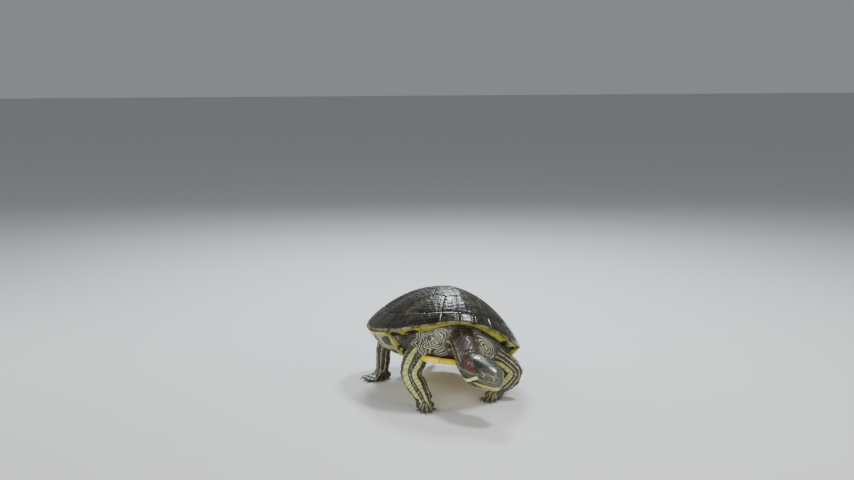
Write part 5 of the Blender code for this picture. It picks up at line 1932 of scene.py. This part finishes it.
def scaleTree(material):
    # a thin block, domed over its middle, bowed round the leg and drawn in at its corners
    tree = Grower("scalesOnForelegs", "Across", "Long", "Thick", "Dome")
    whole = tree.vector(*[tree.inputs[name] for name in ("Across", "Long", "Thick")])
    block = tree.add("GeometryNodeMeshCube", {
        "Size": whole, "Vertices X": 5, "Vertices Y": 4, "Vertices Z": 2})
    place = tree.add("GeometryNodeInputPosition")
    x = tree.add("ShaderNodeSeparateXYZ", {0: place})
    y = x.node.outputs[1]

    def outSquared(value, width):
        share = tree.math("DIVIDE", value, width)
        return tree.times(tree.times(share, share), 4.0)

    u, v = outSquared(x, tree.inputs["Across"]), outSquared(y, tree.inputs["Long"])
    full = tree.times(tree.math("SUBTRACT", 1.0, u), tree.math("SUBTRACT", 1.0, v))
    fall = tree.math("DIVIDE", tree.times(x, x), 2 * legScales["bow"] * mm)
    rise = tree.math("SUBTRACT", tree.times(full, tree.inputs["Dome"]), fall)
    pull = tree.times(tree.times(u, v), -legScales["corner"])
    offset = tree.vector(tree.times(x, pull), tree.times(y, pull), rise)
    kept = tree.add("GeometryNodeStoreNamedAttribute", {"Geometry": block, "Name": "leaf", "Value": place},
                    data_type="FLOAT_VECTOR", domain="POINT")
    return tree.onRoots(tree.add("GeometryNodeSetPosition", {"Geometry": kept, "Offset": offset}), material)


def scaleRoots():
    # in rings down the front of each foreleg, every other ring shifted by half a scale
    points, normals = readPoints(skinObject.data), readNormals(skinObject.data)
    rung, isLeg, isFoot = [stored(skinObject, key) for key in ("rung", "isLeg", "isFoot")]
    low, high = math.radians(legScales["low"]), math.radians(legScales["high"])
    roots = []
    for number, name in enumerate(("foreleg_left", "foreleg_right")):
        out, along = nearestOnLimb(points, limbLines[name])[1:3]
        run, turn, away, long = alongLimb(points, limbLines[name], (0, -1, 0))
        on = np.nonzero((isLeg > 0.95) & (isFoot < 0.05) & (away < 10))[0]
        for ring in range(math.ceil(rung[on].min()), math.floor(rung[on].max())):
            level = np.abs(rung[on] - ring - 0.5) * skin["rung"]
            radius = float(np.median(away[on][level < 0.6])) if (level < 0.6).any() else 5.5
            step = legScales["across"] * legScales["spacing"] / radius
            for target in np.arange(low + 0.5 * step * (ring % 2), high, step):
                off = np.hypot(level, np.abs(wrapped(turn[on] - target)) * radius)
                nearest = np.argsort(off)[:legScales["neighbours"]]
                if off[nearest[0]] > legScales["within"]:
                    continue
                nearest = on[nearest]
                up = normals[nearest].mean(axis=0)
                # none where the skin is sharply bent or turns back on itself
                if np.linalg.norm(up) < legScales["even"] or unit(up) @ unit(out[nearest].mean(axis=0)) < 0.8:
                    continue
                up = unit(up)
                down = unit(along[nearest].mean(axis=0))
                down = unit(down - up * (down @ up))
                place = points[nearest].mean(axis=0) - up * legScales["sink"] * mm
                up = unit(up - down * legScales["lift"])
                down = unit(down - up * (down @ up))
                aim = Matrix([np.cross(down, up), down, up]).transposed().to_euler()[:]
                fromFront = abs(target + 0.25) / 2.2
                grow = [1.0 - legScales["narrows"] * fromFront, 1.0 - legScales["shortens"] * fromFront, 1.0]
                bakePlace = [0.25 + 0.5 * number + target / 14, run[nearest[0]] / long, 0]
                roots.append((place, aim, grow, bakePlace))
    return zip(*roots)


def makeLegScales():
    places, aims, sizes, bakePlaces = scaleRoots()
    roots = meshObject("scaleRoots", places, [], 0)
    for key, values in (("aim", aims), ("grow", sizes), ("bakePlace", bakePlaces)):
        store(roots, key, values)
    values = {key.capitalize(): legScales[key] * mm for key in ("across", "long", "thick", "dome")}
    made = outward(grown(roots, scaleTree(skinLook), values, "leg_scales"))
    leaf, root = [stored(made, key) for key in ("leaf", "bakePlace")]
    half = np.array([legScales["across"], legScales["long"]]) * 0.5 * mm
    inLeaf = leaf[:, :2] / half
    corners = np.array([loop.vertex_index for loop in made.data.loops])
    layer = made.data.uv_layers.new(name="OFBake")
    layer.data.foreach_set("uv", (root[:, :2] + inLeaf * legScales["bakePatch"])[corners].ravel())
    keepMeasures(made, measureSkin(readPoints(made.data)))
    store(made, "onScale", np.ones(len(leaf)))
    store(made, "scaleEdge", np.abs(inLeaf).max(axis=1))
    wear(made, skinLook, "skin")
    return len(places)


print("leg scales made:", makeLegScales())


claws = {
    "length": 4.9, "root": 0.62, "tip": 0.10, "arch": 0.95, "drop": 0.95, "overlap": 1.7, "height": 1.35,
    "sides": 10, "steps": 9, "bendAt": 0.62, "taper": 1.35,
}


def clawTree(material):
    # a curved cone: a circle swept down an arc, thinner towards the tip
    tree = Grower("clawsOnToes", "Length", "Root", "Tip", "Arch", "Drop")
    length = tree.inputs["Length"]
    middle = tree.vector(tree.times(length, claws["bendAt"]), 0.0, tree.inputs["Arch"])
    end = tree.vector(length, 0.0, tree.times(tree.inputs["Drop"], -1.0))
    arc = tree.add("GeometryNodeCurveQuadraticBezier", {
        "Resolution": claws["steps"], "Start": (0, 0, 0), "Middle": middle, "End": end})
    share = tree.math("POWER", tree.add("GeometryNodeSplineParameter"), claws["taper"])
    girth = tree.add("ShaderNodeMapRange", {
        "Value": share, "To Min": tree.inputs["Root"], "To Max": tree.inputs["Tip"]})
    ring = tree.add("GeometryNodeCurvePrimitiveCircle", {"Resolution": claws["sides"], "Radius": 1.0})
    swept = tree.add("GeometryNodeCurveToMesh", {
        "Curve": arc, "Profile Curve": ring, "Scale": girth, "Fill Caps": True})
    welded = tree.add("GeometryNodeMergeByDistance", {"Geometry": swept, "Distance": 0.02 * mm})
    place = tree.add("ShaderNodeSeparateXYZ", {0: tree.add("GeometryNodeInputPosition")})
    kept = tree.add("GeometryNodeStoreNamedAttribute", {
        "Geometry": welded, "Name": "clawRun", "Value": tree.math("DIVIDE", place, length)},
        data_type="FLOAT", domain="POINT")
    return tree.onRoots(kept, material)


def clawMaterial():
    s = Shader("clawHorn")
    run = s.attribute("clawRun")
    grain = s.noise(s.mapped(s.objectPlace(), (1800, 1800, 900)), 1.0, 3, 0.6)
    colour = s.tones(run, 0.45, 1.0, (0.030, 0.022, 0.014), (0.20, 0.16, 0.085))
    colour = s.mix(s.remap(grain, 0.45, 0.75, 0, 0.5), colour, (0.09, 0.07, 0.04))
    return s.finish(colour, 0.30, grain, 0.03 * mm, coat=0.3, coatRough=0.12)


def makeClaws():
    places, aims, sizes = [], [], []
    for leg in legs.values():
        heel = heelOf(leg)
        for k in leg["digits"]:
            turn = math.radians(leg["heading"] + leg["spread"] * (k / 2 - 1))
            reach = (digitReach(leg, k) - claws["overlap"]) * mm
            out = np.array([math.cos(turn), math.sin(turn), 0.0]) * reach
            places.append(heel + out + [0, 0, claws["height"] * mm])
            aims.append((0.0, 0.0, turn))
            sizes.append([1.0 if k == 2 else 0.94] * 3)
    roots = meshObject("clawRoots", places, [], 0)
    store(roots, "aim", aims)
    store(roots, "grow", sizes)
    look = clawMaterial()
    values = {key.capitalize(): claws[key] * mm for key in ("length", "root", "tip", "arch", "drop")}
    wear(outward(grown(roots, clawTree(look), values, "claws")), look, "claw")


makeClaws()
print("claws made")
